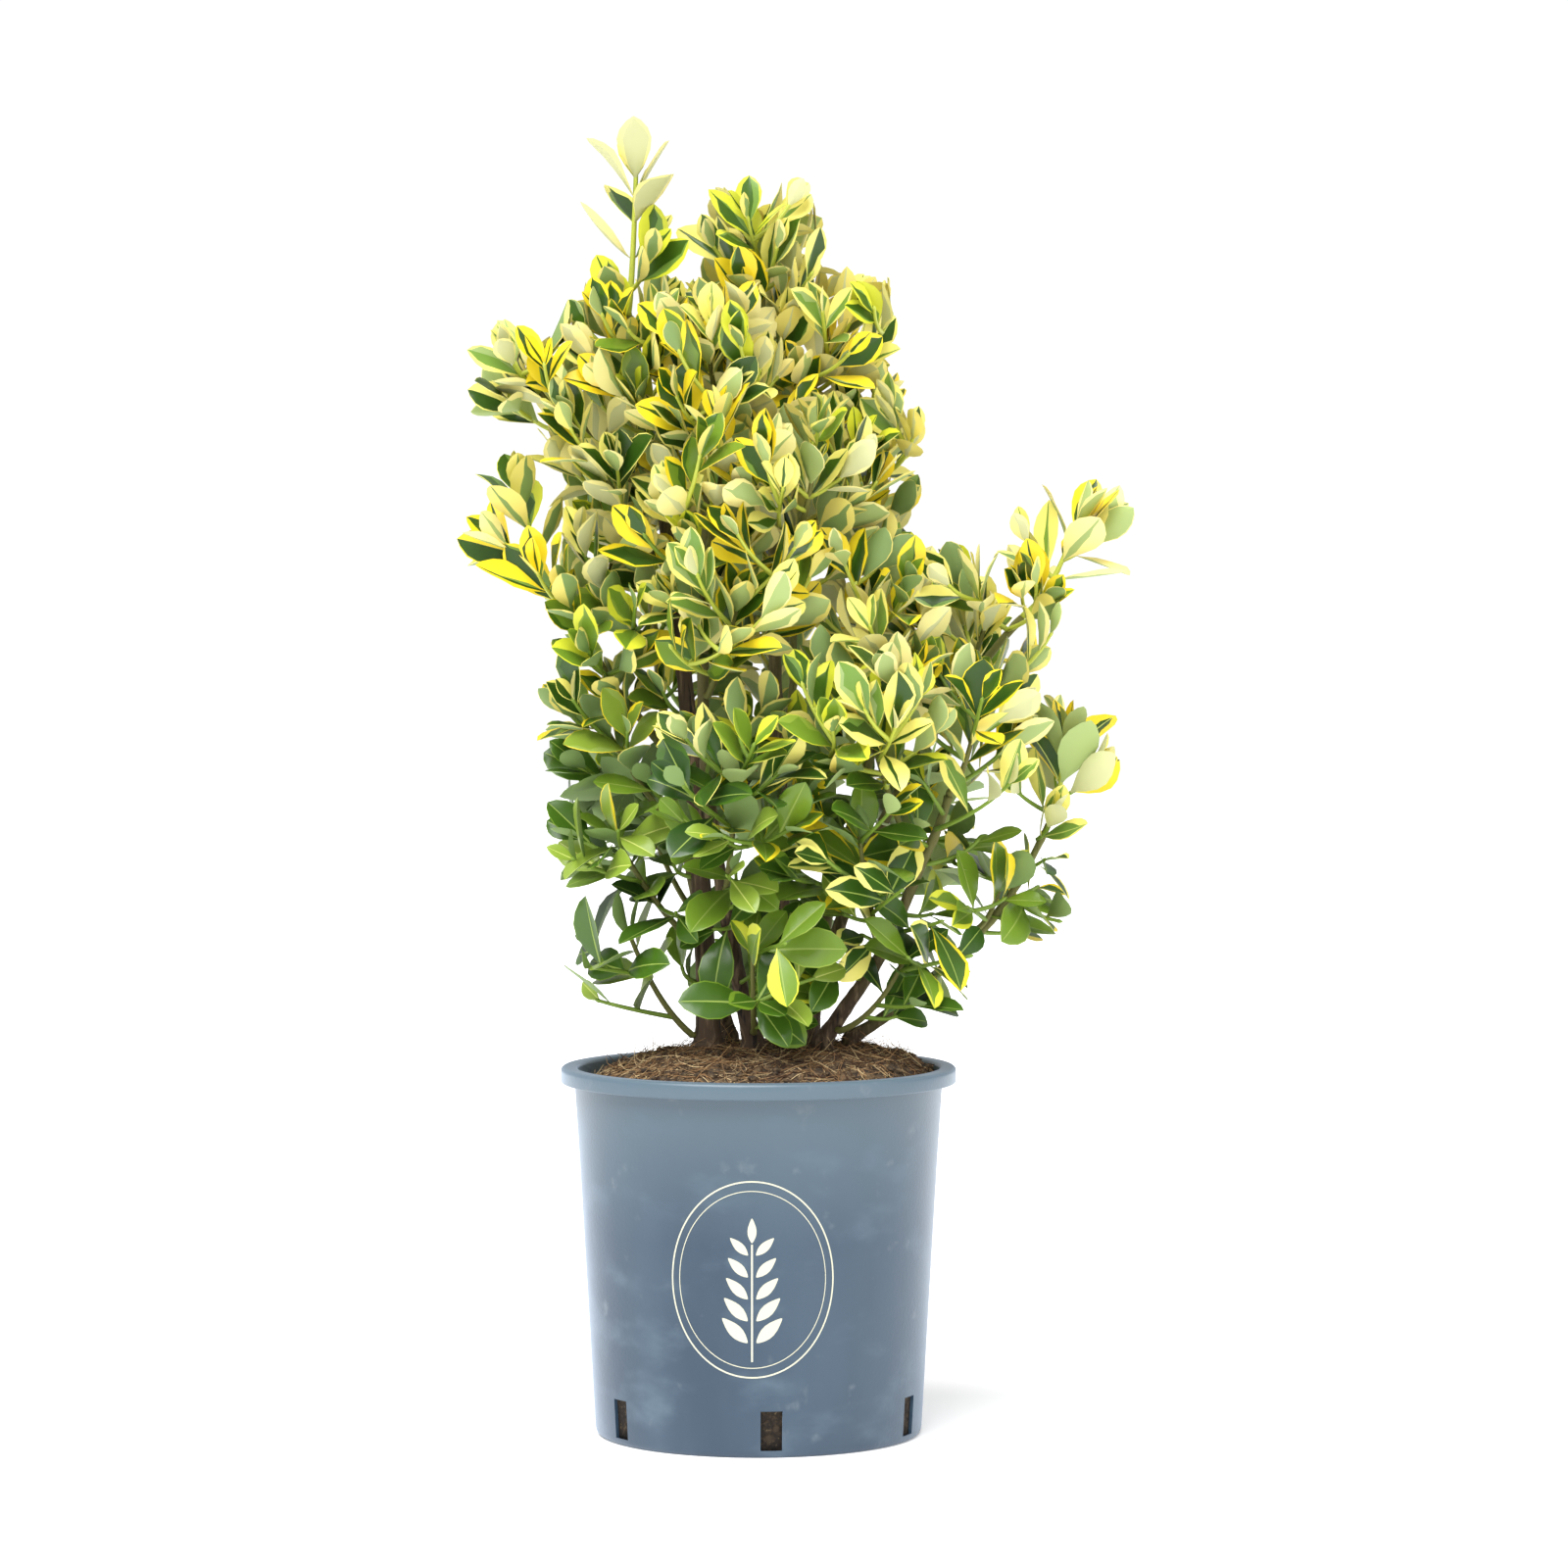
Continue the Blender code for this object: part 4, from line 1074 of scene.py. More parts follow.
@dataclass
class Wood:
    """Every stem and bough of the shrub."""

    rule: WoodRule = WoodRule()
    limbs: dict[str, Limb] = field(default_factory=dict)

    STEMS = (
        ("main_stem", (-0.036, -0.004), (-0.046, -0.012, 0.583), (-0.093, 0.0, 0.806), 0.0082, 0.0034),
        ("centre_stem", (-0.004, -0.014), (-0.058, -0.052, 0.5), (-0.03, -0.036, 0.748), 0.0062, 0.0028),
        ("back_stem", (0.014, 0.026), (0.02, 0.066, 0.54), (0.003, 0.014, 0.808), 0.0066, 0.0028),
        ("right_stem", (0.046, -0.016), (0.11, -0.024, 0.375), (0.136, -0.034, 0.462), 0.0056, 0.003),
        ("outer_right_stem", (0.066, 0.012), (0.168, 0.012, 0.345), (0.21, 0.012, 0.44), 0.0044, 0.0024),
        ("lobe_stem", (0.034, 0.008), (0.078, 0.024, 0.465), (0.19, 0.0, 0.59), 0.0058, 0.0026),
        ("left_back_stem", (-0.022, 0.036), (-0.064, 0.074, 0.43), (-0.083, 0.068, 0.64), 0.0054, 0.0026),
        ("right_back_stem", (0.038, 0.046), (0.056, 0.092, 0.43), (0.098, 0.088, 0.525), 0.0052, 0.0026),
    )
    BOUGHS = (
        ("wing_bough", "main_stem", 0.78, (-0.106, -0.01, 0.69), (-0.126, -0.01, 0.728), 0.003, 0.002),
        ("outrigger_bough", "main_stem", 0.44, (-0.11, -0.006, 0.54), (-0.136, -0.01, 0.604), 0.0032, 0.002),
        ("shoulder_bough", "back_stem", 0.62, (0.058, 0.022, 0.61), (0.069, 0.004, 0.664), 0.0032, 0.0021),
        ("heart_bough", "back_stem", 0.48, (0.03, -0.01, 0.585), (0.03, -0.048, 0.652), 0.0032, 0.0021),
    )

    def __post_init__(self) -> None:
        """Lay out every limb by the rule."""
        rule = self.rule
        for number, (name, start, via, tip, foot_radius, tip_radius) in enumerate(self.STEMS):
            foot = Vector((*start, rule.mix_top + rule.seat_gap))
            plumb = Vector((0.0, 0.0, rule.foot_plumb))
            self.limbs[name] = Limb(
                name, foot, plumb, Vector(via), Vector(tip), foot_radius, tip_radius, rule.flare_share, number
            )
        for number, (name, parent, share, via, tip, foot_radius, tip_radius) in enumerate(self.BOUGHS):
            start, way = self.limbs[parent].seat(share, Vector(via))
            self.limbs[name] = Limb(
                name, start, way * rule.seat_plumb, Vector(via), Vector(tip), foot_radius, tip_radius, 0.0,
                len(self.STEMS) + number,
            )

    def feet(self) -> list[tuple[Vector, float]]:
        """Where the stems stand, and how wide they are there."""
        return [(self.limbs[name].start, self.limbs[name].foot_radius) for name, *_ in self.STEMS]

    def dress(self) -> list[Object]:
        """Build every limb with one bark."""
        finish = BarkFinish().make()
        return [limb.dress(finish) for limb in self.limbs.values()]


class Tint(Enum):
    """The colouring of a mass, or of one spray of it. PALE is for sprays only."""

    GOLD = "leaves_gold"
    MIXED = "leaves_mixed"
    GREEN = "leaves_green"
    PALE = "leaves_pale"


class Pattern(Enum):
    """How gold and green share a blade: each half's green share from foot to tip, and how much it varies."""

    BROAD = ((0.8, 0.73, 0.59, 0.46, 0.33, 0.14), (0.73, 0.62, 0.46, 0.36, 0.24, 0.11), 0.3)
    NARROW = ((0.9, 0.87, 0.82, 0.76, 0.65, 0.4), (0.9, 0.84, 0.78, 0.72, 0.61, 0.36), 0.17)
    HAIR = ((0.92, 0.95, 0.95, 0.95, 0.93, 0.88), (0.92, 0.95, 0.95, 0.95, 0.93, 0.88), 0.02)
    HALF = ((0.38, 0.14, 0.09, 0.08, 0.08, 0.08), (0.88, 0.93, 0.94, 0.93, 0.91, 0.83), 0.05)
    TIP = ((0.92, 0.95, 0.92, 0.75, 0.35, 0.1), (0.92, 0.94, 0.87, 0.63, 0.26, 0.09), 0.1)
    PALE = ((0.49, 0.35, 0.22, 0.14, 0.09, 0.08), (0.45, 0.27, 0.17, 0.11, 0.08, 0.08), 0.08)


class Zone(Enum):
    """The parts of a blade that take their own colour."""

    EDGE = 0
    DEEP = 1
    MID = 2
    RIB = 3
    UNDER_EDGE = 4
    UNDER = 5


Row = tuple[list[float], list[Zone]]

LEAF_FINISHES = (
    PlainFinish("gold_vivid", (247, 220, 44), 0.34),
    PlainFinish("gold_soft", (244, 234, 124), 0.36),
    PlainFinish("gold_lime", (214, 218, 58), 0.34),
    PlainFinish("flame_deep", (48, 80, 20), 0.3),
    PlainFinish("flame_mid", (112, 146, 62), 0.32),
    PlainFinish("flame_grey", (150, 172, 108), 0.34),
    PlainFinish("fresh_deep", (62, 96, 22), 0.28),
    PlainFinish("fresh_mid", (108, 138, 40), 0.28),
    PlainFinish("fresh_bright", (134, 158, 56), 0.28),
    PlainFinish("shade_deep", (44, 74, 26), 0.28),
    PlainFinish("rib_pale", (200, 210, 110), 0.45),
    PlainFinish("rib_green", (144, 166, 76), 0.42),
    PlainFinish("cream_pale", (246, 236, 158), 0.6),
    PlainFinish("cream_gold", (238, 224, 124), 0.58),
    PlainFinish("sage_pale", (206, 208, 156), 0.6),
    PlainFinish("sage_mid", (166, 186, 116), 0.62),
    PlainFinish("sage_green", (130, 156, 92), 0.6),
)

# Each palette names the finish of every zone, in the order of the zones.
PALETTES = {
    Tint.GOLD: (
        "gold_vivid flame_deep flame_mid rib_pale cream_gold sage_mid",
        "gold_soft flame_mid flame_grey rib_pale cream_pale sage_pale",
        "gold_vivid flame_deep fresh_deep rib_green cream_pale sage_mid",
        "gold_soft flame_deep flame_mid rib_pale cream_pale sage_pale",
        "gold_soft fresh_deep flame_grey rib_pale cream_pale sage_mid",
        "gold_lime fresh_deep flame_mid rib_green cream_gold sage_green",
    ),
    Tint.PALE: (
        "gold_soft flame_mid flame_grey rib_pale cream_pale sage_pale",
        "gold_vivid flame_deep flame_grey rib_pale cream_pale sage_pale",
        "gold_soft flame_deep flame_mid rib_pale cream_gold sage_pale",
    ),
    Tint.MIXED: (
        "gold_vivid fresh_deep fresh_mid rib_green cream_gold sage_mid",
        "gold_lime fresh_mid fresh_bright rib_green cream_gold sage_green",
        "gold_soft flame_deep fresh_deep rib_green cream_pale sage_mid",
        "gold_vivid fresh_mid fresh_deep rib_green cream_gold sage_green",
    ),
    Tint.GREEN: (
        "fresh_mid fresh_deep fresh_mid rib_green sage_green sage_green",
        "fresh_deep shade_deep fresh_deep rib_green sage_green sage_green",
        "gold_lime fresh_mid fresh_bright rib_green sage_mid sage_green",
        "gold_lime fresh_deep fresh_mid rib_green cream_gold sage_green",
        "gold_vivid fresh_bright rib_green rib_pale cream_gold sage_green",
    ),
}

DEALT = (Pattern.BROAD, Pattern.NARROW, Pattern.HAIR, Pattern.HALF, Pattern.PALE, Pattern.TIP)
# How often each tint deals out each of them.
WEIGHTS = {
    Tint.GOLD: (46, 18, 3, 8, 17, 8),
    Tint.PALE: (36, 8, 0, 10, 40, 6),
    Tint.MIXED: (12, 24, 42, 11, 0, 11),
    Tint.GREEN: (0, 7, 82, 3, 0, 8),
}


@dataclass
class Blade:
    """A leaf of unit length: an upper and an under skin that meet at the outline."""

    pattern: Pattern
    ribbed: bool
    seed: int
    rows: tuple[float, ...] = (0.0, 0.13, 0.3, 0.48, 0.65, 0.8, 0.93, 1.0)
    halves: tuple[float, ...] = (0.0, 0.075, 0.29, 0.455, 0.495, 0.41, 0.215, 0.0)
    outline_play: float = 0.025
    green_lean: float = 0.8
    green_limits: Span = (0.08, 0.95)
    mid: Span = (0.15, 1.0)
    rib: Span = (0.034, 0.01)
    rib_most: float = 0.4
    rib_margin: float = 1.05
    thickness: float = 0.012

    def __post_init__(self) -> None:
        """Draw the zones' widths and the outline, build the mesh and read it into arrays."""
        rng = Random(self.seed)
        play = self.pattern.value[2]
        lean = rng.uniform(-play, play)
        least, most = self.green_limits
        self.green, self.inner = [], []
        for side in (0, 1):
            shift = lean * (1 - 2 * side) * self.green_lean
            shares = self.pattern.value[side]
            drawn = [max(least, min(most, share + shift + rng.uniform(-play, play))) for share in shares]
            self.green.append([drawn[0], *drawn, drawn[-1]])
            self.inner.append([value * rng.uniform(*self.mid) for value in self.green[-1]])
        self.edge = [half * (1.0 + rng.uniform(-1.0, 1.0) * self.outline_play) for half in self.halves]
        shape = bmesh.new()
        self.skin(shape, self.upper_row, 1.0)
        self.skin(shape, self.under_row, -1.0)
        bmesh.ops.remove_doubles(shape, verts=shape.verts, dist=WELD)
        self.read(shape)
        shape.free()

    def upper_row(self, row: int) -> Row:
        """Places across the upper skin at a row, and the zones between them.

        Args:
            row: The row's number from the leaf's foot.

        Returns:
            The places from left to right, and the zones from left to right.
        """
        half, share = self.edge[row], self.rows[row]
        rib = min(self.rib[0] + (self.rib[1] - self.rib[0]) * share, half * self.rib_most)
        left, right = (max(self.green[side][row] * half, rib * self.rib_margin) for side in (0, 1))
        if self.ribbed:
            places = [-half, -left, -rib, rib, right, half]
            return places, [Zone.EDGE, Zone.DEEP, Zone.RIB, Zone.DEEP, Zone.EDGE]
        near, far = (self.inner[side][row] * half for side in (0, 1))
        if self.seed % 2:
            places = [-half, -left, -min(near, left), 0.0, right, half]
            return places, [Zone.EDGE, Zone.MID, Zone.DEEP, Zone.DEEP, Zone.EDGE]
        places = [-half, -left, 0.0, min(far, right), right, half]
        return places, [Zone.EDGE, Zone.DEEP, Zone.DEEP, Zone.MID, Zone.EDGE]

    def under_row(self, row: int) -> Row:
        """Places across the under skin at a row, and the zones between them.

        Args:
            row: The row's number from the leaf's foot.

        Returns:
            The places from left to right, and the zones from left to right.
        """
        half = self.edge[row]
        if self.ribbed:
            return [-half, 0.0, half], [Zone.UNDER, Zone.UNDER]
        left, right = (self.green[side][row] * half for side in (0, 1))
        return [-half, -left, 0.0, right, half], [Zone.UNDER_EDGE, Zone.UNDER, Zone.UNDER, Zone.UNDER_EDGE]

    def skin(self, shape: BMesh, row_places: Callable[[int], Row], side: float) -> None:
        """Add one skin as a grid whose points move to the blade's outline and zones.

        Args:
            shape: Where it goes.
            row_places: Gives the places across the skin at a row, and the zones between them.
            side: 1 for the upper skin, -1 for the under skin.
        """
        known, faces = len(shape.verts), len(shape.faces)
        columns, spans = len(row_places(1)[1]), len(self.rows) - 1
        bmesh.ops.create_grid(shape, x_segments=spans, y_segments=columns, size=1.0)
        shape.verts.ensure_lookup_table()
        shape.faces.ensure_lookup_table()
        for number, vert in enumerate(shape.verts[known:]):
            row, column = number % (spans + 1), number // (spans + 1)
            inner = 0 < column < columns and 0 < row < spans
            lift = side * self.thickness / 2 if inner else 0.0
            vert.co = (self.rows[row], row_places(row)[0][column], lift)
        for number, face in enumerate(shape.faces[faces:]):
            face.material_index = row_places(1)[1][number // spans].value
        if side < 0:
            bmesh.ops.reverse_faces(shape, faces=shape.faces[faces:])

    def read(self, shape: BMesh) -> None:
        """Keep the mesh as arrays."""
        shape.verts.index_update()
        self.points = np.array([tuple(vert.co) for vert in shape.verts])
        self.corners = np.array([vert.index for face in shape.faces for vert in face.verts])
        self.sizes = np.array([len(face.verts) for face in shape.faces])
        self.zones = np.array([face.material_index for face in shape.faces])
        halves = np.interp(self.points[:, 0], self.rows, self.edge)
        self.rim = np.abs(self.points[:, 1]) > halves - WELD


@dataclass(frozen=True)
class LeafPose:
    """Where a leaf is and how its blade bends."""

    base: Array
    axis: Array
    upper: Array
    length: float
    width: float
    bend: float
    fold: float
    twist: float
    ripple: float

    RIPPLES = 9.0
    RIPPLE_SHIFT = 7.0
    LEAST_BEND = 1e-3

    def lay(self, points: Array) -> Array:
        """Bend the unit blade's points and put them in place.

        Args:
            points: Points of the unit blade.

        Returns:
            The points in the plant's frame.
        """
        along = points[:, 0]
        across = points[:, 1] * self.width / self.length
        lift = points[:, 2] + np.abs(across) * self.fold
        wave = np.sin(along * self.RIPPLES + self.twist * self.RIPPLE_SHIFT)
        lift = lift + self.ripple * np.abs(across) * wave
        turn = self.twist * along
        cos, sin = np.cos(turn), np.sin(turn)
        across, lift = across * cos - lift * sin, across * sin + lift * cos
        bend = self.bend if abs(self.bend) > self.LEAST_BEND else self.LEAST_BEND
        angle = bend * along
        x = np.sin(angle) / bend + lift * np.sin(angle)
        z = (np.cos(angle) - 1.0) / bend + lift * np.cos(angle)
        side = np.cross(self.upper, self.axis)
        local = np.outer(x, self.axis) + np.outer(across, side) + np.outer(z, self.upper)
        return self.base + local * self.length


Spray = tuple[list[LeafPose], Vector]
Twig = tuple[list[Vector], Array, int]


@dataclass(frozen=True)
class Mass:
    """A mass of foliage: its limb and seat, its space, its colouring, and how open it stands."""

    name: str
    limb: str
    share: float
    centre: Triple
    reach: Triple
    tint: Tint
    shoots: int = 60
    lift: float | None = None
    gaps: float = 1.2
    spread: float = 1.0

    @property
    def lone(self) -> bool:
        """True for a shoot that stands out by itself, as if in full sun."""
        return self.lift is not None


def mass_table() -> tuple[Mass, ...]:
    """Every mass, as the solids have them."""
    gold, mixed, green = Tint.GOLD, Tint.MIXED, Tint.GREEN
    return (
        Mass(
            "crown_spire", "main_stem", 1.0, (-0.088, 0.0, 0.886), (0.04, 0.038, 0.066), gold, shoots=1,
            lift=0.32, gaps=1.45, spread=0.3,
        ),
        Mass("crown_peak", "back_stem", 1.0, (0.003, 0.01, 0.858), (0.048, 0.046, 0.05), gold),
        Mass("cap_left", "main_stem", 0.9, (-0.094, -0.025, 0.792), (0.046, 0.046, 0.046), gold),
        Mass("cap_front", "centre_stem", 1.0, (-0.034, -0.062, 0.786), (0.046, 0.048, 0.049), gold),
        Mass("cap_right", "back_stem", 0.84, (0.05, 0.006, 0.793), (0.053, 0.052, 0.049), gold),
        Mass("cap_back", "back_stem", 0.8, (-0.026, 0.08, 0.792), (0.062, 0.058, 0.05), gold),
        Mass("wing_left", "wing_bough", 1.0, (-0.157, -0.01, 0.764), (0.053, 0.048, 0.041), gold, 14),
        Mass("shoulder_right", "shoulder_bough", 1.0, (0.08, -0.004, 0.713), (0.042, 0.05, 0.058), gold),
        Mass("heart_left", "main_stem", 0.68, (-0.108, -0.03, 0.703), (0.05, 0.05, 0.046), gold),
        Mass("heart_front", "centre_stem", 0.8, (-0.026, -0.09, 0.704), (0.05, 0.05, 0.046), gold),
        Mass("heart_right", "heart_bough", 1.0, (0.038, -0.072, 0.701), (0.047, 0.05, 0.048), gold),
        Mass("heart_back", "back_stem", 0.66, (0.02, 0.098, 0.705), (0.066, 0.058, 0.055), gold),
        Mass("heart_back_left", "left_back_stem", 1.0, (-0.086, 0.075, 0.697), (0.06, 0.058, 0.052), gold),
        Mass(
            "outrigger_left", "outrigger_bough", 1.0, (-0.172, -0.01, 0.653), (0.047, 0.042, 0.055), gold,
            shoots=2, lift=0.5, gaps=1.3, spread=0.5,
        ),
        Mass("waist_left", "main_stem", 0.56, (-0.104, -0.03, 0.611), (0.05, 0.05, 0.046), mixed),
        Mass("waist_front", "centre_stem", 0.62, (-0.015, -0.087, 0.612), (0.053, 0.05, 0.05), gold),
        Mass("waist_back", "left_back_stem", 0.72, (-0.024, 0.1, 0.597), (0.068, 0.058, 0.054), mixed),
        Mass(
            "lobe_spire", "lobe_stem", 1.0, (0.228, 0.0, 0.65), (0.049, 0.042, 0.052), gold,
            shoots=4, lift=0.1, spread=0.75,
        ),
        Mass("lobe_top_inner", "lobe_stem", 0.62, (0.08, -0.04, 0.606), (0.046, 0.05, 0.05), gold, 13),
        Mass("lobe_top_outer", "lobe_stem", 0.84, (0.162, -0.02, 0.597), (0.058, 0.052, 0.048), gold, 11),
        Mass("lobe_back", "right_back_stem", 1.0, (0.124, 0.088, 0.57), (0.064, 0.056, 0.056), mixed, 18),
        Mass("lobe_front", "right_stem", 0.76, (0.076, -0.092, 0.532), (0.05, 0.05, 0.048), gold),
        Mass("lobe_outer", "right_stem", 1.0, (0.152, -0.05, 0.514), (0.052, 0.05, 0.053), mixed, 10),
        Mass(
            "lobe_tip", "outer_right_stem", 1.0, (0.222, 0.012, 0.49), (0.043, 0.042, 0.054), mixed,
            shoots=5, lift=0.15, gaps=1.3, spread=0.8,
        ),
        Mass("lobe_low", "outer_right_stem", 0.6, (0.176, 0.006, 0.397), (0.06, 0.052, 0.048), green, 9),
        Mass("lobe_low_back", "right_back_stem", 0.6, (0.116, 0.088, 0.436), (0.06, 0.054, 0.052), green, 11),
        Mass("low_left_upper", "main_stem", 0.36, (-0.108, 0.0, 0.517), (0.053, 0.05, 0.049), mixed, 10),
        Mass("low_left_mid", "main_stem", 0.25, (-0.102, -0.012, 0.433), (0.053, 0.05, 0.042), green, 7),
        Mass("low_left_foot", "main_stem", 0.15, (-0.091, -0.022, 0.354), (0.05, 0.048, 0.046), green, 14),
        Mass("low_left_back", "left_back_stem", 0.4, (-0.084, 0.082, 0.455), (0.06, 0.056, 0.056), green, 8),
        Mass("belly_front", "centre_stem", 0.36, (-0.015, -0.096, 0.482), (0.064, 0.05, 0.053), mixed),
        Mass("belly_right", "right_stem", 0.48, (0.072, -0.074, 0.434), (0.056, 0.05, 0.048), green, 17),
        Mass("belly_back", "back_stem", 0.3, (0.022, 0.104, 0.474), (0.062, 0.056, 0.06), green, 24),
        Mass("foot_front", "centre_stem", 0.16, (-0.004, -0.072, 0.346), (0.06, 0.052, 0.06), green, 18),
        Mass("foot_right", "right_stem", 0.2, (0.104, -0.044, 0.34), (0.052, 0.048, 0.048), green, 9),
        Mass("foot_back", "back_stem", 0.17, (0.0, 0.102, 0.35), (0.064, 0.054, 0.056), green, 12),
    )


@dataclass(frozen=True)
class GrowthRule:
    """The seeded rule by which every mass grows. The solids follow it too, with fewer, larger leaves."""

    sun_height: float = 0.56
    shade_height: float = 0.36
    overreach: float = 1.35
    interlock: float = 0.014
    envelope: Triple = (1.0, 1.0, 1.04)
    skirt: float = 1.45
    highest: float = 0.9535
    lane: Span = (-0.059, -0.024)
    lane_top: float = 0.425
    lane_crossing: float = 0.22
    squareness: float = 3.4
    neighbour_distance: float = 0.2
    stem_radius: float = 0.0026
    stem_tip_radius: float = 0.0017
    stem_lift: Pair = Pair(-0.3, 0.1)
    stem_sag: float = 0.35
    stem_via: float = 0.45
    stem_points: int = 12
    seat_from: float = 0.25
    shoot_tries: int = 420
    shoot_gap: Pair = Pair(0.0205, 0.025)
    limb_seat_step: float = 0.012
    limb_seat_reach: float = 1.65
    limb_bare_part: int = 6
    limb_sample: float = 0.005
    shoot_choices: int = 6
    shoot_lowest: Pair = Pair(-1.0, -0.8)
    shoot_highest: Pair = Pair(0.6, 1.0)
    shoot_reach: Span = (0.012, 0.095)
    shoot_rise: Pair = Pair(0.9, 0.25)
    shoot_up: Pair = Pair(1.0, 0.22)
    shoot_out: Pair = Pair(0.14, 1.0)
    shoot_straight: float = 0.62
    shoot_slope: Pair = Pair(0.35, -1.0)
    shoot_level_cost: float = 1.2
    shoot_out_full: float = 0.04
    shoot_wander: float = 0.2
    shoot_via: float = 0.42
    shoot_radius: Span = (0.0019, 0.0013)
    shoot_points: int = 8
    fork_shares: tuple[float, ...] = (0.3, 0.5, 0.7)
    fewest_leaves: tuple[int, ...] = (6, 5, 4, 4, 3, 3)
    bare_share: float = 0.2
    first_node: float = 0.0003
    first_gap: float = 0.5
    first_turn: float = 0.5
    internodes: Pair = Pair(0.0085, 0.017)
    pair_sizes: tuple[float, ...] = (0.62, 0.88, 1.0, 1.0, 0.96, 0.9)
    pair_splays_sun: tuple[float, ...] = (7.0, 14.0, 24.0, 34.0, 46.0, 56.0)
    pair_splays_shade: tuple[float, ...] = (24.0, 50.0, 64.0, 74.0, 82.0, 86.0)
    length: Pair = Pair(0.0485, 0.059)
    width: Pair = Pair(0.0245, 0.03)
    size_play: float = 0.12
    slim: Span = (0.9, 1.08)
    lone_size: float = 1.12
    lone_splay: float = 1.35
    splay_limits_deg: Span = (6.0, 100.0)
    least_facing: float = 0.05
    splay_play_deg: float = 9.0
    turn_play_deg: float = 18.0
    light_rise: Pair = Pair(1.0, 0.75)
    light_front: float = 0.25
    light_play: float = 0.35
    light_pull: Pair = Pair(0.0, 0.55)
    light_pull_play: Span = (0.5, 1.3)
    face_light: Pair = Pair(0.08, 0.85)
    bend_least: Pair = Pair(-0.45, -0.05)
    bend_most: Pair = Pair(0.42, 0.95)
    bend_at_tip: float = 0.3
    bend_full_pair: int = 2
    fold: Span = (0.1, 0.42)
    twist: float = 0.3
    ripple: float = 0.09
    gold_line: float = 0.515
    gold_slope: float = -0.8
    gold_span: Span = (-0.09, 0.12)
    gold_play: float = 0.018
    gold_over: float = 0.03
    green_under: float = 0.08
    lone_gold: float = 0.08
    greener_under: float = 0.26
    greener_share: float = 0.3
    pale_beyond: float = 0.16
    pale_share: float = 0.55
    sink: float = 0.0008
    bud: tuple[Span, ...] = ((0.0012, 0.0016), (0.003, 0.0013), (0.0048, 0.0003))
    limb_clearance: float = 0.001
    lowest: float = 0.279
    fits: tuple[Triple, ...] = (
        (1.0, 0.0, 0.0), (0.97, 0.0, 18.0), (0.97, 8.0, -18.0), (0.9, -9.0, 0.0), (0.84, 13.0, 28.0),
        (0.78, -6.0, -28.0),
    )

    def shade(self, height: float) -> float:
        """0 in the sunny crown, 1 at the shaded foot."""
        return max(0.0, min(1.0, (self.sun_height - height) / (self.sun_height - self.shade_height)))

    def light(self, place: Vector) -> Vector:
        """The way to the light from a place: straight up in the crown, more from outside lower down.

        Args:
            place: The place.

        Returns:
            The way, of length 1.
        """
        shade = self.shade(place.z)
        outward = Vector((place.x, place.y, 0.0)).normalized()
        outward.y -= self.light_front
        return (Z_AXIS * self.light_rise.at(shade) + outward.normalized() * shade).normalized()


class CrownSpace:
    """Where one mass may grow: inside the crown and nearest to its own centre."""

    def __init__(self, mass: Mass, masses: tuple[Mass, ...], rule: GrowthRule) -> None:
        """Find the neighbours.

        Args:
            mass: The mass.
            masses: Every mass of the plant.
            rule: The rule of growth.
        """
        self.mass, self.rule = mass, rule
        self.centre = np.array(mass.centre)
        near = [
            other for other in masses
            if np.linalg.norm(np.array(other.centre) - self.centre) < rule.neighbour_distance
        ]
        self.centres = np.array([other.centre for other in near])
        self.reaches = np.array([other.reach for other in near]) * rule.envelope
        self.skirts = np.array([rule.skirt if other.shoots == Mass.shoots else 1.0 for other in near])
        ways = np.array([np.array(other.centre) - self.centre for other in near if other.name != mass.name])
        self.gaps = np.linalg.norm(ways, axis=1)
        self.ways = ways / self.gaps[:, None]

    def near(self, point: Vector, share: float) -> bool:
        """True if a point lies in the mass's own box, stretched by a share."""
        own = np.abs((np.array(point) - self.centre) / (np.array(self.mass.reach) * share))
        return bool((own**self.rule.squareness).sum() < 1.0)

    def holds(self, points: Array) -> bool:
        """True if every point is in the space.

        Args:
            points: Points as rows.

        Returns:
            Whether all are inside.
        """
        own = np.abs((points - self.centre) / (np.array(self.mass.reach) * self.rule.overreach))
        if ((own**self.rule.squareness).sum(axis=1) > 1.0).any() or points[:, 2].max() > self.rule.highest:
            return False
        spread = (points[:, None] - self.centres) / self.reaches
        spread[..., 2] /= np.where(spread[..., 2] < 0.0, self.skirts, 1.0)
        if ((np.abs(spread) ** self.rule.squareness).sum(axis=2) > 1.0).all(axis=1).any():
            return False
        past = (points - self.centre) @ self.ways.T
        return not (past > self.gaps / 2 + self.rule.interlock).any()

    def in_lane(self, points: Array) -> bool:
        """True if any point lies in the lane that stays open around the foot of the main stem."""
        left, right = self.rule.lane
        inside = (points[:, 0] > left) & (points[:, 0] < right) & (points[:, 2] < self.rule.lane_top)
        return bool(inside.any())


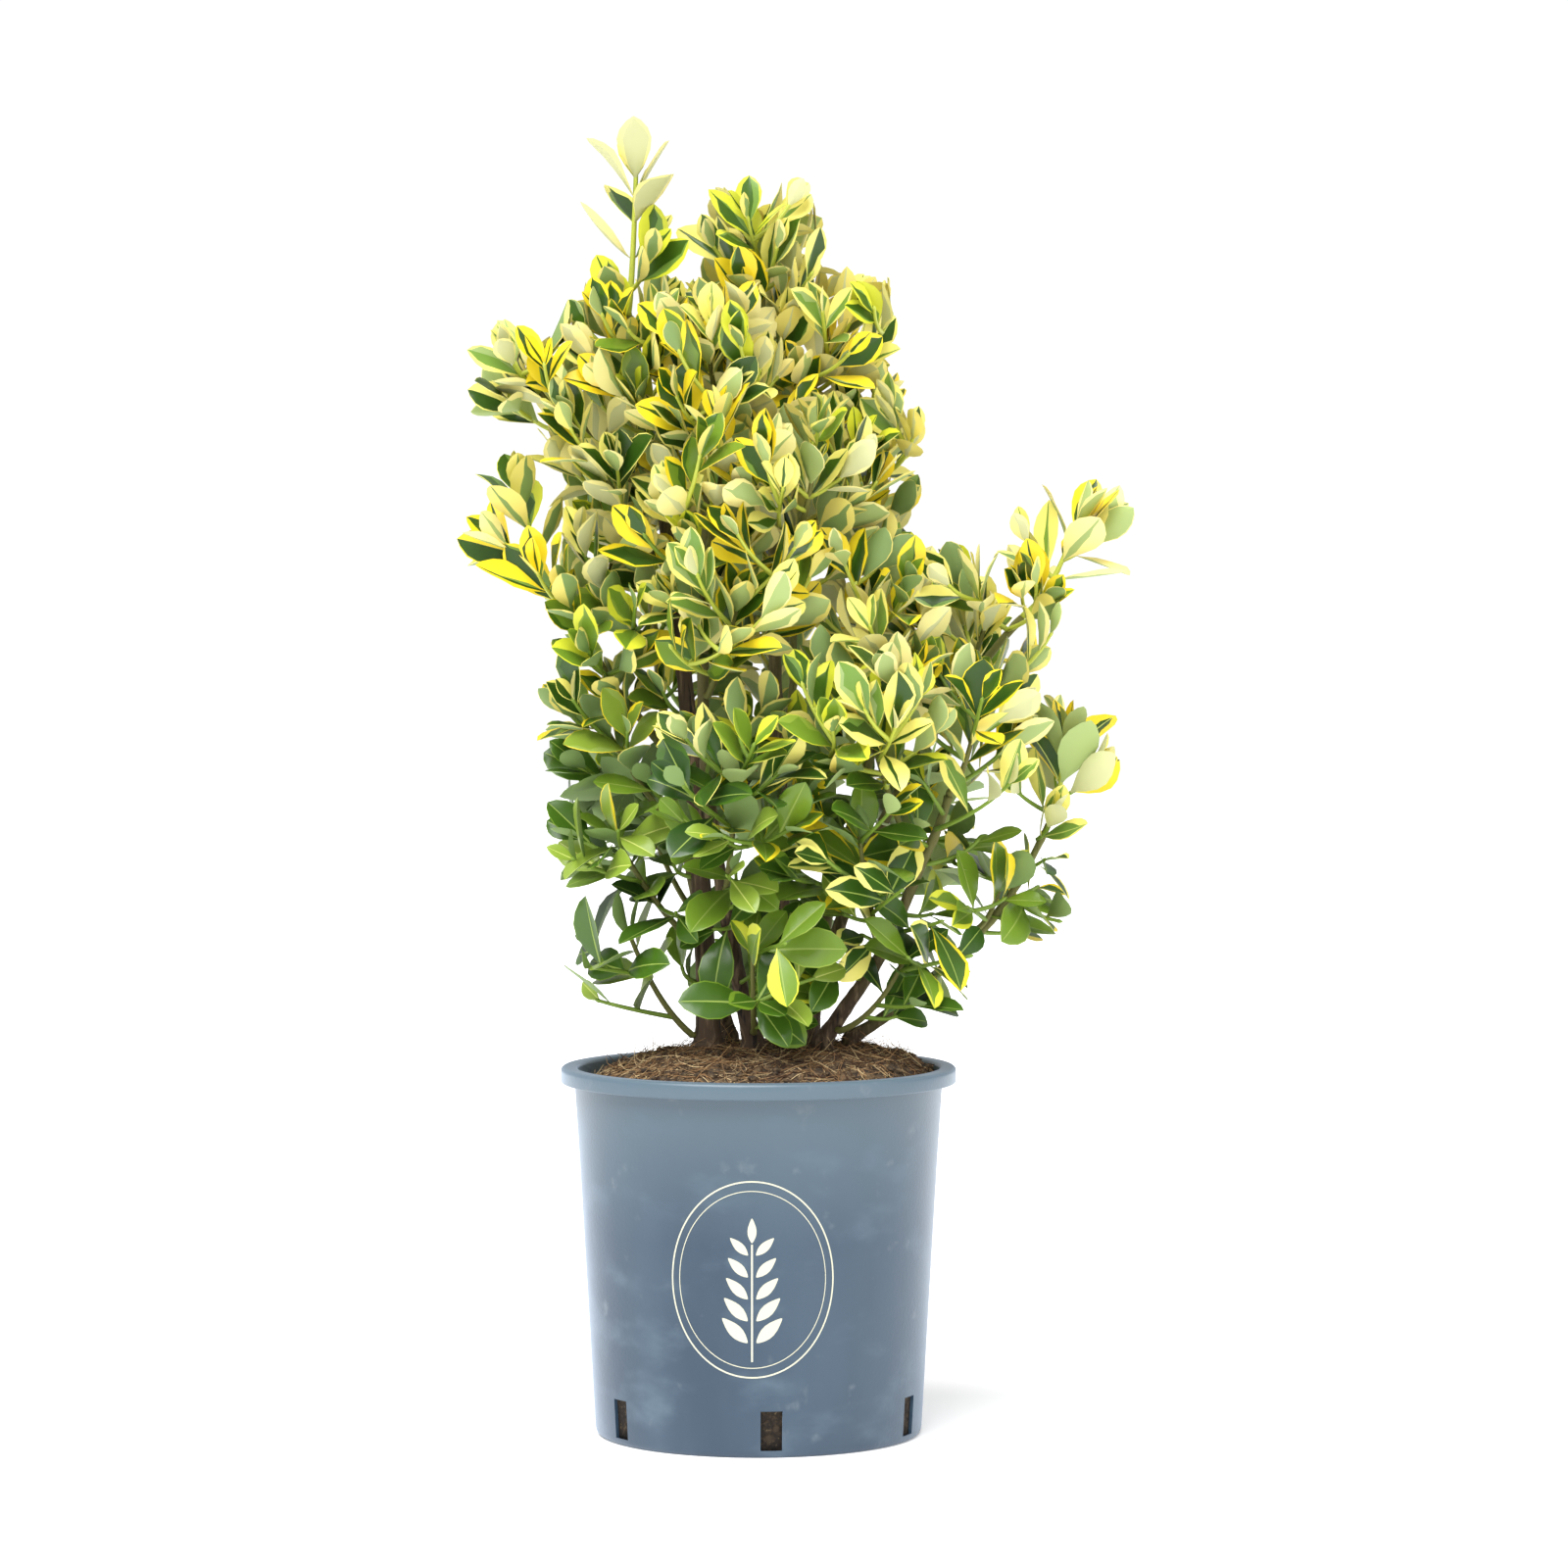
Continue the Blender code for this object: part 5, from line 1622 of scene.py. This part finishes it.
class Boxed:
    """Small things with the same number of points each, kept with the boxes that they fill."""

    ROOM = 16384

    def __init__(self, size: int) -> None:
        """Start empty, for things with a number of points."""
        self.count = 0
        self.points = np.zeros((self.ROOM, size, 3))
        self.low, self.high = np.zeros((self.ROOM, 3)), np.zeros((self.ROOM, 3))

    def add(self, things: Array) -> None:
        """Keep a few things."""
        place = slice(self.count, self.count + len(things))
        self.points[place] = things
        self.low[place], self.high[place] = things.min(axis=1), things.max(axis=1)
        self.count = place.stop

    def near(self, points: Array) -> Array:
        """The things whose boxes reach into the box of some points.

        Args:
            points: The points as rows.

        Returns:
            The things.
        """
        low, high, known = points.min(axis=0), points.max(axis=0), self.count
        apart = (self.low[:known] > high).any(axis=1) | (self.high[:known] < low).any(axis=1)
        return self.points[:known][~apart]


class Crowd:
    """Every blade and twig that has grown, kept coarse, so that no new one cuts through another."""

    OUTLINE = np.array(
        [
            (0.16, 0.0), (0.45, -0.4), (0.45, 0.0), (0.45, 0.4), (0.78, -0.41), (0.78, 0.0), (0.78, 0.41),
            (0.99, 0.0),
        ]
    )
    TRIANGLES = np.array(
        [(0, 2, 1), (0, 3, 2), (1, 2, 5), (1, 5, 4), (2, 3, 6), (2, 6, 5), (4, 5, 7), (5, 6, 7)]
    )
    EDGES = np.array(
        [
            (0, 1), (1, 4), (4, 7), (7, 6), (6, 3), (3, 0),
            (0, 2), (2, 5), (5, 7), (1, 2), (2, 3), (4, 5), (5, 6),
        ]
    )
    LEVEL = 1e-14

    def __init__(self) -> None:
        """Start with no blades and no twigs."""
        self.leaves, self.bars = Boxed(len(self.OUTLINE)), Boxed(2)

    def coarse(self, pose: LeafPose) -> Array:
        """The coarse outline of a leaf in place."""
        return pose.lay(np.column_stack([self.OUTLINE, np.zeros(len(self.OUTLINE))]))

    @staticmethod
    def links(chain: list[Vector]) -> Array:
        """A twig as the start and end of each piece between its points."""
        points = np.array([tuple(point) for point in chain])
        return np.stack([points[:-1], points[1:]], axis=1)

    def drop(self, leaves: int, bars: int) -> None:
        """Forget every leaf and twig piece past the first ones."""
        self.leaves.count, self.bars.count = leaves, bars

    def twig_cuts(self, chain: list[Vector]) -> bool:
        """True if a twig would pass through a leaf that has grown."""
        links = self.links(chain)
        others = self.leaves.near(links.reshape(-1, 3))
        return len(others) > 0 and self.pierce(links, others[:, self.TRIANGLES].reshape(-1, 3, 3))

    def cuts(self, outline: Array) -> bool:
        """True if the leaf would pass through a leaf or a twig that has grown.

        Args:
            outline: The leaf's coarse outline.

        Returns:
            Whether any edge of one passes through the other.
        """
        own_faces = outline[self.TRIANGLES]
        bars = self.bars.near(outline)
        if len(bars) and self.pierce(bars, own_faces):
            return True
        others = self.leaves.near(outline)
        if not len(others):
            return False
        their_edges = others[:, self.EDGES].reshape(-1, 2, 3)
        their_faces = others[:, self.TRIANGLES].reshape(-1, 3, 3)
        return self.pierce(outline[self.EDGES], their_faces) or self.pierce(their_edges, own_faces)

    @staticmethod
    def pierce(edges: Array, faces: Array) -> bool:
        """True if any edge passes through any triangle.

        Args:
            edges: Start and end of each edge.
            faces: The corners of each triangle.

        Returns:
            Whether one does.
        """
        starts, runs = edges[:, 0], edges[:, 1] - edges[:, 0]
        origin = faces[:, 0]
        first, second = faces[:, 1] - origin, faces[:, 2] - origin
        across = np.cross(runs[:, None], second[None])
        lean = (first[None] * across).sum(axis=2)
        lean = np.where(np.abs(lean) < Crowd.LEVEL, Crowd.LEVEL, lean)
        back = starts[:, None] - origin[None]
        u = (back * across).sum(axis=2) / lean
        other = np.cross(back, first[None])
        v = (runs[:, None] * other).sum(axis=2) / lean
        t = (second[None] * other).sum(axis=2) / lean
        return bool(((u > 0) & (v > 0) & (u + v < 1) & (t > 0) & (t < 1)).any())


class Foliage:
    """Grows every mass and joins its leaves and its twigs."""

    TWIG_FINISHES = (
        PlainFinish("shoot_lime", (186, 196, 76), 0.5),
        PlainFinish("shoot_green", (120, 148, 52), 0.5),
        PlainFinish("twig_olive", (112, 112, 56), 0.7),
    )
    LIME, GREEN, OLIVE = range(3)
    TWIG_SIDES = 6
    VARIANTS = 6
    PATTERN_SEED = 17
    RIBBED_SEED = 101
    BAR_REACH = 2.2
    RIBBED_BELOW = 0.3

    def __init__(self, wood: Wood, rule: GrowthRule, masses: tuple[Mass, ...]) -> None:
        """Make the blades and the finishes.

        Args:
            wood: The stems and boughs that carry the masses.
            rule: The rule of growth.
            masses: Every mass of the plant.
        """
        self.wood, self.rule, self.masses = wood, rule, masses
        self.crowd = Crowd()
        self.blades = {
            (pattern, ribbed): [
                Blade(pattern, ribbed, number * self.PATTERN_SEED + index + self.RIBBED_SEED * ribbed)
                for index in range(self.VARIANTS)
            ]
            for number, pattern in enumerate(Pattern) for ribbed in (False, True)
        }
        self.leaf_materials = [finish.make() for finish in LEAF_FINISHES]
        self.twig_materials = [finish.make() for finish in self.TWIG_FINISHES]
        self.slot_of = {finish.name: index for index, finish in enumerate(LEAF_FINISHES)}
        bars = [sample for limb in wood.limbs.values() for sample in limb.samples(rule.limb_sample)]
        self.all_bars = np.array([(*point, radius) for point, radius in bars])
        self.bars = self.all_bars

    def stem_of(self, mass: Mass) -> list[Vector]:
        """The points of the mass's own stem, from its seat on a limb into the space."""
        rule = self.rule
        centre, reach = Vector(mass.centre), Vector(mass.reach)
        root, way = self.wood.limbs[mass.limb].seat(mass.share, centre)
        lift = rule.stem_lift.at(rule.shade(centre.z)) if mass.lift is None else mass.lift
        tip = centre + Vector((0.0, 0.0, lift * reach.z))
        onward = root + way * self.wood.rule.seat_plumb
        via = centre + (onward - centre) * rule.stem_via - Vector((0.0, 0.0, rule.stem_sag * reach.z))
        shares = [index / (rule.stem_points - 1) for index in range(rule.stem_points)]
        return [root] + [bezier(onward, via, tip, share) for share in shares]

    def open_point(self, space: CrownSpace, tips: list[Array], rng: Random) -> Array | None:
        """A point for a shoot's tip, the farthest from the other tips among a few at random.

        Args:
            space: The mass's space.
            tips: The tips so far.
            rng: The mass's random numbers.

        Returns:
            The point, or None if none of the few lies in the space.
        """
        rule = self.rule
        shade = rule.shade(space.centre[2])
        wide = space.mass.spread
        best, best_gap = None, -1.0
        for _ in range(rule.shoot_choices):
            lift = rng.uniform(rule.shoot_lowest.at(shade), rule.shoot_highest.at(shade))
            share = np.array((rng.uniform(-wide, wide), rng.uniform(-wide, wide), lift))
            point = space.centre + share * np.array(space.mass.reach) * rule.overreach
            if not space.holds(point[None]):
                continue
            gap = min((float(np.linalg.norm(point - tip)) for tip in tips), default=1.0)
            if gap > best_gap:
                best, best_gap = point, gap
        return best if best_gap > rule.shoot_gap.at(shade) * wide else None

    def limb_joints(self, space: CrownSpace) -> list[Vector]:
        """Points on the stems and boughs in and beside the space that a shoot may leave."""
        found = []
        for limb in self.wood.limbs.values():
            count = int(limb.length / self.rule.limb_seat_step)
            for share in (index / count for index in range(count // self.rule.limb_bare_part, count)):
                if space.near(limb.at(share)[0], self.rule.limb_seat_reach):
                    found.append(limb.seat(share, Vector(space.centre))[0])
        return found

    def shoot_to(self, tip: Array, joints: list[Vector], centre: Array, rng: Random) -> list[Vector] | None:
        """A shoot that leaves the nearest joint below its tip.

        Args:
            tip: The shoot's tip.
            joints: Points of the mass's twigs that a shoot may leave.
            centre: The mass's centre.
            rng: The mass's random numbers.

        Returns:
            The shoot's points, or None if no joint is near enough.
        """
        rule = self.rule
        end = Vector(tip)
        shade = rule.shade(end.z)

        def cost(joint: Vector) -> float:
            """How far a joint is, and how far it lies from where such a shoot would start."""
            wanted = end.z - (end - joint).xy.length * rule.shoot_rise.at(shade)
            return (end - joint).length + rule.shoot_level_cost * abs(joint.z - wanted)

        start = min(joints, key=cost)
        run = end - start
        if not rule.shoot_reach[0] < run.length < rule.shoot_reach[1]:
            return None
        if run.z < rule.shoot_slope.at(shade) * run.xy.length:
            return None
        flat = Vector((tip[0] - centre[0], tip[1] - centre[1], 0.0))
        out = flat.normalized() * rule.shoot_out.at(shade) * min(1.0, flat.length / rule.shoot_out_full)
        wander = rule.shoot_wander
        heading = out + Z_AXIS * rule.shoot_up.at(shade)
        heading += Vector((rng.uniform(-wander, wander), rng.uniform(-wander, wander), 0.0))
        heading = heading.normalized() * (1.0 - rule.shoot_straight) + run.normalized() * rule.shoot_straight
        via = end - heading.normalized() * run.length * rule.shoot_via
        shares = [index / (rule.shoot_points - 1) for index in range(rule.shoot_points)]
        return [bezier(start, via, end, share) for share in shares]

    def misses_limbs(self, points: Array) -> bool:
        """True if the points keep clear of every stem and bough."""
        gaps = np.linalg.norm(points[:, None] - self.bars[None, :, :3], axis=2) - self.bars[:, 3]
        return not (gaps < self.rule.limb_clearance).any()

    def fitted(
        self, space: CrownSpace, node: Vector, run: Vector, level: Vector, pair: int, side: float, rng: Random
    ) -> LeafPose | None:
        """The first form of a leaf that fits in the space, clear of the limbs and of other leaves.

        Args:
            space: The mass's space.
            node: Where the leaf's pair leaves the shoot.
            run: The way the shoot runs there.
            level: The side of the shoot that the first leaf of the shoot's first pair faces.
            pair: The pair's number from the shoot's tip.
            side: 0 or half a turn.
            rng: The mass's random numbers.

        Returns:
            The leaf's place, or None.
        """
        rule = self.rule
        shade = 0.0 if space.mass.lone else rule.shade(node.z)
        light = rule.light(node)
        light = (light + Vector([rng.uniform(-rule.light_play, rule.light_play) for _ in light])).normalized()
        play = math.radians(rule.turn_play_deg)
        turn = pair * math.pi / 2 + side + rng.uniform(-play, play)
        splay = rule.pair_splays_sun[pair] * (1.0 - shade) + rule.pair_splays_shade[pair] * shade
        splay += rng.uniform(-1.0, 1.0) * rule.splay_play_deg
        size = rule.pair_sizes[pair] * (1.0 + rng.uniform(-1.0, 1.0) * rule.size_play)
        if space.mass.lone:
            splay, size = splay * rule.lone_splay, size * rule.lone_size
        pull = rule.light_pull.at(shade) * rng.uniform(*rule.light_pull_play)
        bend = rng.uniform(rule.bend_least.at(shade), rule.bend_most.at(shade))
        bend *= rule.bend_at_tip + (1.0 - rule.bend_at_tip) * min(1.0, pair / rule.bend_full_pair)
        fold = rng.uniform(*rule.fold)
        twist, ripple = rng.uniform(-rule.twist, rule.twist), rng.uniform(0.0, rule.ripple)
        slim = rng.uniform(*rule.slim)
        crosses = rng.random() < rule.lane_crossing
        least, most = rule.splay_limits_deg
        for fit, more_splay, more_turn in rule.fits:
            away = Matrix.Rotation(turn + math.radians(more_turn), 3, run) @ level
            angle = math.radians(min(most, max(least, splay + more_splay)))
            axis = run * math.cos(angle) + away * math.sin(angle)
            axis = (axis - light * (axis.dot(light) * pull)).normalized()
            upper = run - axis * run.dot(axis)
            lit = light - axis * light.dot(axis)
            if upper.length < rule.least_facing or lit.length < rule.least_facing:
                continue
            upper = upper.normalized().lerp(lit.normalized(), rule.face_light.at(shade))
            upper = (upper - axis * upper.dot(axis)).normalized()
            pose = LeafPose(
                np.array(node - axis * rule.sink), np.array(axis), np.array(upper),
                rule.length.at(shade) * size * fit, rule.width.at(shade) * size * fit * slim,
                bend, fold, twist, ripple,
            )
            outline = self.crowd.coarse(pose)
            if outline[:, 2].min() < rule.lowest or not space.holds(outline[1:]):
                continue
            if not crosses and space.in_lane(outline):
                continue
            if self.crowd.cuts(outline) or not self.misses_limbs(outline):
                continue
            self.crowd.leaves.add(outline[None])
            return pose
        return None

    def leaves_of(self, space: CrownSpace, chain: list[Vector], rng: Random) -> list[LeafPose]:
        """Opposite pairs of leaves from the shoot's tip backwards, each pair square to the one before.

        Args:
            space: The mass's space.
            chain: The shoot's points.
            rng: The mass's random numbers.

        Returns:
            The leaves that fit.
        """
        rule = self.rule
        shade = 0.0 if space.mass.lone else rule.shade(chain[-1].z)
        lengths = [(b - a).length for a, b in zip(chain, chain[1:])]
        whole = sum(lengths)
        outward = chain[-1] - Vector(space.centre)
        if outward.xy.length < rule.sink:
            outward = Vector((0.0, -1.0, 0.0))
        turn = math.pi / 2 + rng.uniform(-rule.first_turn, rule.first_turn)
        sideways = Matrix.Rotation(turn, 3, "Z") @ outward
        sideways.z = 0.0
        found = []
        back, step = rule.first_node, rule.internodes.at(shade)
        for pair in range(len(rule.pair_sizes)):
            if back > whole * (1.0 - rule.bare_share):
                break
            left, index = back, len(lengths) - 1
            while index > 0 and left > lengths[index]:
                left -= lengths[index]
                index -= 1
            run = (chain[index + 1] - chain[index]).normalized()
            node = chain[index + 1] - run * left
            level = (sideways - run * run.dot(sideways)).normalized()
            for side in (0.0, math.pi):
                pose = self.fitted(space, node, run, level, pair, side, rng)
                if pose is not None:
                    found.append(pose)
            if pair == 1 and not found:
                break
            back += step * (rule.first_gap if pair == 0 else 1.0)
            step *= space.mass.gaps
        return found

    def grow(self, mass: Mass, seed: int) -> tuple[list[Spray], list[Twig]]:
        """Grow one mass.

        Args:
            mass: The mass.
            seed: The seed of its random numbers.

        Returns:
            The leaves of each shoot with the shoot's tip, and every twig as points, radii and slot.
        """
        rule = self.rule
        rng = Random(seed)
        space = CrownSpace(mass, self.masses, rule)
        far = np.linalg.norm(self.all_bars[:, :3] - space.centre, axis=1)
        self.bars = self.all_bars[far < max(mass.reach) * self.BAR_REACH]
        stem = self.stem_of(mass)
        self.crowd.bars.add(self.crowd.links(stem))
        stem_slot = self.LIME if mass.lone else self.OLIVE
        twigs = [(stem, np.linspace(rule.stem_radius, rule.stem_tip_radius, len(stem)), stem_slot)]
        joints = list(stem[int(len(stem) * rule.seat_from):]) + self.limb_joints(space)
        tips = [np.array(stem[-1])]
        leafy = stem[1:] if mass.lone else stem[-rule.shoot_points:]
        sprays = [(self.leaves_of(space, leafy, rng), stem[-1])]
        slot = self.LIME if mass.tint is Tint.GOLD else self.GREEN
        for number in range(rule.shoot_tries):
            if len(twigs) > mass.shoots:
                break
            tip = self.open_point(space, tips, rng)
            chain = None if tip is None else self.shoot_to(tip, joints, space.centre, rng)
            if chain is None or not self.misses_limbs(np.array(chain[2:])) or self.crowd.twig_cuts(chain):
                continue
            known = self.crowd.leaves.count, self.crowd.bars.count
            self.crowd.bars.add(self.crowd.links(chain))
            leaves = self.leaves_of(space, chain, rng)
            if len(leaves) < rule.fewest_leaves[number * len(rule.fewest_leaves) // rule.shoot_tries]:
                self.crowd.drop(*known)
                continue
            sprays.append((leaves, chain[-1]))
            tips.append(tip)
            twigs.append((chain, np.linspace(*rule.shoot_radius, len(chain)), slot))
            joints += [chain[round(share * (len(chain) - 1))] for share in rule.fork_shares]
        return sprays, twigs

    def tint_of(self, mass: Mass, tip: Vector, rng: Random) -> Tint:
        """The colouring of a spray: gold above a line that falls from left to right, green well below it.

        Args:
            mass: The spray's mass.
            tip: The tip of the spray's shoot.
            rng: The random numbers of the colours.

        Returns:
            The colouring.
        """
        rule = self.rule
        across = min(max(tip.x, rule.gold_span[0]), rule.gold_span[1])
        over = tip.z - rule.gold_line - rule.gold_slope * across
        over += rng.uniform(-rule.gold_play, rule.gold_play)
        greener = over < rule.greener_under and rng.random() < rule.greener_share
        if mass.lone and over > rule.gold_over - rule.lone_gold or over > rule.gold_over and not greener:
            sunny = over > rule.greener_under or tip.x > rule.pale_beyond
            return Tint.PALE if sunny and rng.random() < rule.pale_share else Tint.GOLD
        return Tint.MIXED if over > -rule.green_under else Tint.GREEN

    def leaf_piece(self, mass: Mass, sprays: list[Spray], seed: int) -> Object:
        """Join a mass's leaves, each spray with its own palette.

        Args:
            mass: The mass.
            sprays: The leaves of each shoot with the shoot's tip.
            seed: The seed of the colours.

        Returns:
            The joined leaves.
        """
        rng = Random(seed)
        joined = Joined()
        for leaves, tip in sprays:
            tint = self.tint_of(mass, tip, rng)
            slots = np.array([self.slot_of[name] for name in rng.choice(PALETTES[tint]).split()])
            ribbed = self.rule.shade(tip.z) > self.RIBBED_BELOW
            for pose in leaves:
                pattern = rng.choices(DEALT, weights=WEIGHTS[tint])[0]
                blade = rng.choice(self.blades[pattern, ribbed])
                zones = slots[blade.zones]
                if ribbed and pattern is Pattern.HAIR:
                    zones = np.where(blade.zones == Zone.EDGE.value, slots[Zone.MID.value], zones)
                joined.add(pose.lay(blade.points), blade.corners, blade.sizes, zones, blade.rim)
        return joined.build("leaves_" + mass.name, self.leaf_materials)

    def twig_piece(self, mass: Mass, twigs: list[Twig]) -> Object:
        """Join a mass's twigs.

        Args:
            mass: The mass.
            twigs: Every twig as points, radii and slot.

        Returns:
            The joined twigs.
        """
        joined = Joined()
        for points, radii, slot in twigs:
            way = (points[-1] - points[-2]).normalized()
            bud = [(points[-1] + way * far, radius) for far, radius in self.rule.bud]
            add_tube(joined, list(zip(points, radii)) + bud, self.TWIG_SIDES, slot)
        return joined.build("twigs_" + mass.name, self.twig_materials)

    def dress(self) -> list[Object]:
        """Grow every mass and let its leaves and twigs stand for its node."""
        pieces, total = [], 0
        for seed, mass in enumerate(self.masses):
            sprays, twigs = self.grow(mass, seed)
            count = sum(len(found) for found, _ in sprays)
            total += count
            LOG.info("%s: %d leaves on %d shoots", mass.name, count, len(twigs))
            for piece in (self.leaf_piece(mass, sprays, seed), self.twig_piece(mass, twigs)):
                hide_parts(mass.name)
                pieces.append(piece)
        LOG.info("%d leaves in all", total)
        return pieces


@dataclass(frozen=True)
class SoftSun:
    """A wide, even light: the way from the plant to it, how wide it looks and how strong it is."""

    name: str
    way: Triple
    spread_deg: float
    strength: float

    def hang(self) -> None:
        """Put the light in the scene."""
        data = bpy.data.lights.new(self.name, "SUN")
        data.angle = math.radians(self.spread_deg)
        data.energy = self.strength
        lamp = bpy.data.objects.new(self.name, data)
        lamp.location = self.way
        lamp.rotation_euler = Vector(self.way).to_track_quat("Z", "Y").to_euler()
        bpy.context.scene.collection.objects.link(lamp)


@dataclass
class Studio:
    """The pale floor, the soft light and the camera."""

    eye: Triple = (0.0184, -3.7, 0.61)
    aim: Triple = (0.0184, 0.0, 0.4697)
    lens: float = 117.77
    sensor: float = 36.0
    floor_half: float = 12.0
    floor_finish: PlainFinish = PlainFinish("floor_white", (246, 246, 246), 0.9, 0.1)
    white: tuple[float, float, float, float] = (1.0, 1.0, 1.0, 1.0)
    floor_glow: float = 0.22
    sky_light: float = 0.57
    sky_seen: float = 1.05
    suns: tuple[SoftSun, ...] = (
        SoftSun("key_left", (-0.42, -0.8, 1.6), 50.0, 4.3),
        SoftSun("fill_right", (0.9, -0.7, 0.5), 60.0, 0.62),
    )

    def floor(self) -> None:
        """Lay the floor."""
        shape = bmesh.new()
        bmesh.ops.create_grid(shape, x_segments=1, y_segments=1, size=self.floor_half)
        mesh = bpy.data.meshes.new("floor")
        shape.to_mesh(mesh)
        shape.free()
        material = self.floor_finish.make()
        shader = material.node_tree.nodes["Principled BSDF"]
        fill(shader, {"Emission Color": self.white, "Emission Strength": self.floor_glow})
        mesh.materials.append(material)
        floor = bpy.data.objects.new("floor", mesh)
        bpy.context.scene.collection.objects.link(floor)

    def camera(self) -> None:
        """Put the camera where the photograph was taken from."""
        data = bpy.data.cameras.new("camera")
        data.lens = self.lens
        data.sensor_width = self.sensor
        camera = bpy.data.objects.new("camera", data)
        camera.location = self.eye
        camera.rotation_euler = (Vector(self.aim) - Vector(self.eye)).to_track_quat("-Z", "Y").to_euler()
        bpy.context.scene.collection.objects.link(camera)
        bpy.context.scene.camera = camera

    def sky(self) -> None:
        """Give the world an even white that is a little brighter behind the plant than its light."""
        world = bpy.data.worlds.new("studio")
        world.use_nodes = True
        nodes = NodeTree(world.node_tree)
        light = world.node_tree.nodes["Background"]
        output = world.node_tree.nodes["World Output"]
        seen = nodes.add("Background")
        fill(light, {"Color": self.white, "Strength": self.sky_light})
        fill(seen, {"Color": self.white, "Strength": self.sky_seen})
        path = nodes.add("LightPath")
        choice = nodes.add("MixShader")
        nodes.link(path.outputs["Is Camera Ray"], choice.inputs[0])
        nodes.link(light.outputs["Background"], choice.inputs[1])
        nodes.link(seen.outputs["Background"], choice.inputs[2])
        nodes.link(choice.outputs["Shader"], output.inputs["Surface"])
        bpy.context.scene.world = world

    def set_up(self) -> None:
        """Set up the whole studio."""
        self.floor()
        for sun in self.suns:
            sun.hang()
        self.camera()
        self.sky()
        bpy.context.scene.view_settings.view_transform = "Standard"


def main() -> None:
    """Build the whole plant, its pot and the studio."""
    logging.basicConfig(level=logging.INFO, format="%(name)s: %(message)s")
    wood = Wood()
    pot = NurseryPot()
    made = [pot.dress(), PrintedEmblem(pot).dress()]
    made += PottingMix(wood.feet()).dress()
    made += wood.dress()
    made += Foliage(wood, GrowthRule(), mass_table()).dress()
    triangles = sum(len(face.vertices) - 2 for piece in made for face in piece.data.polygons)
    LOG.info("%d pieces, %d triangles", len(made), triangles)
    Studio().set_up()


if __name__ == "__main__":
    main()
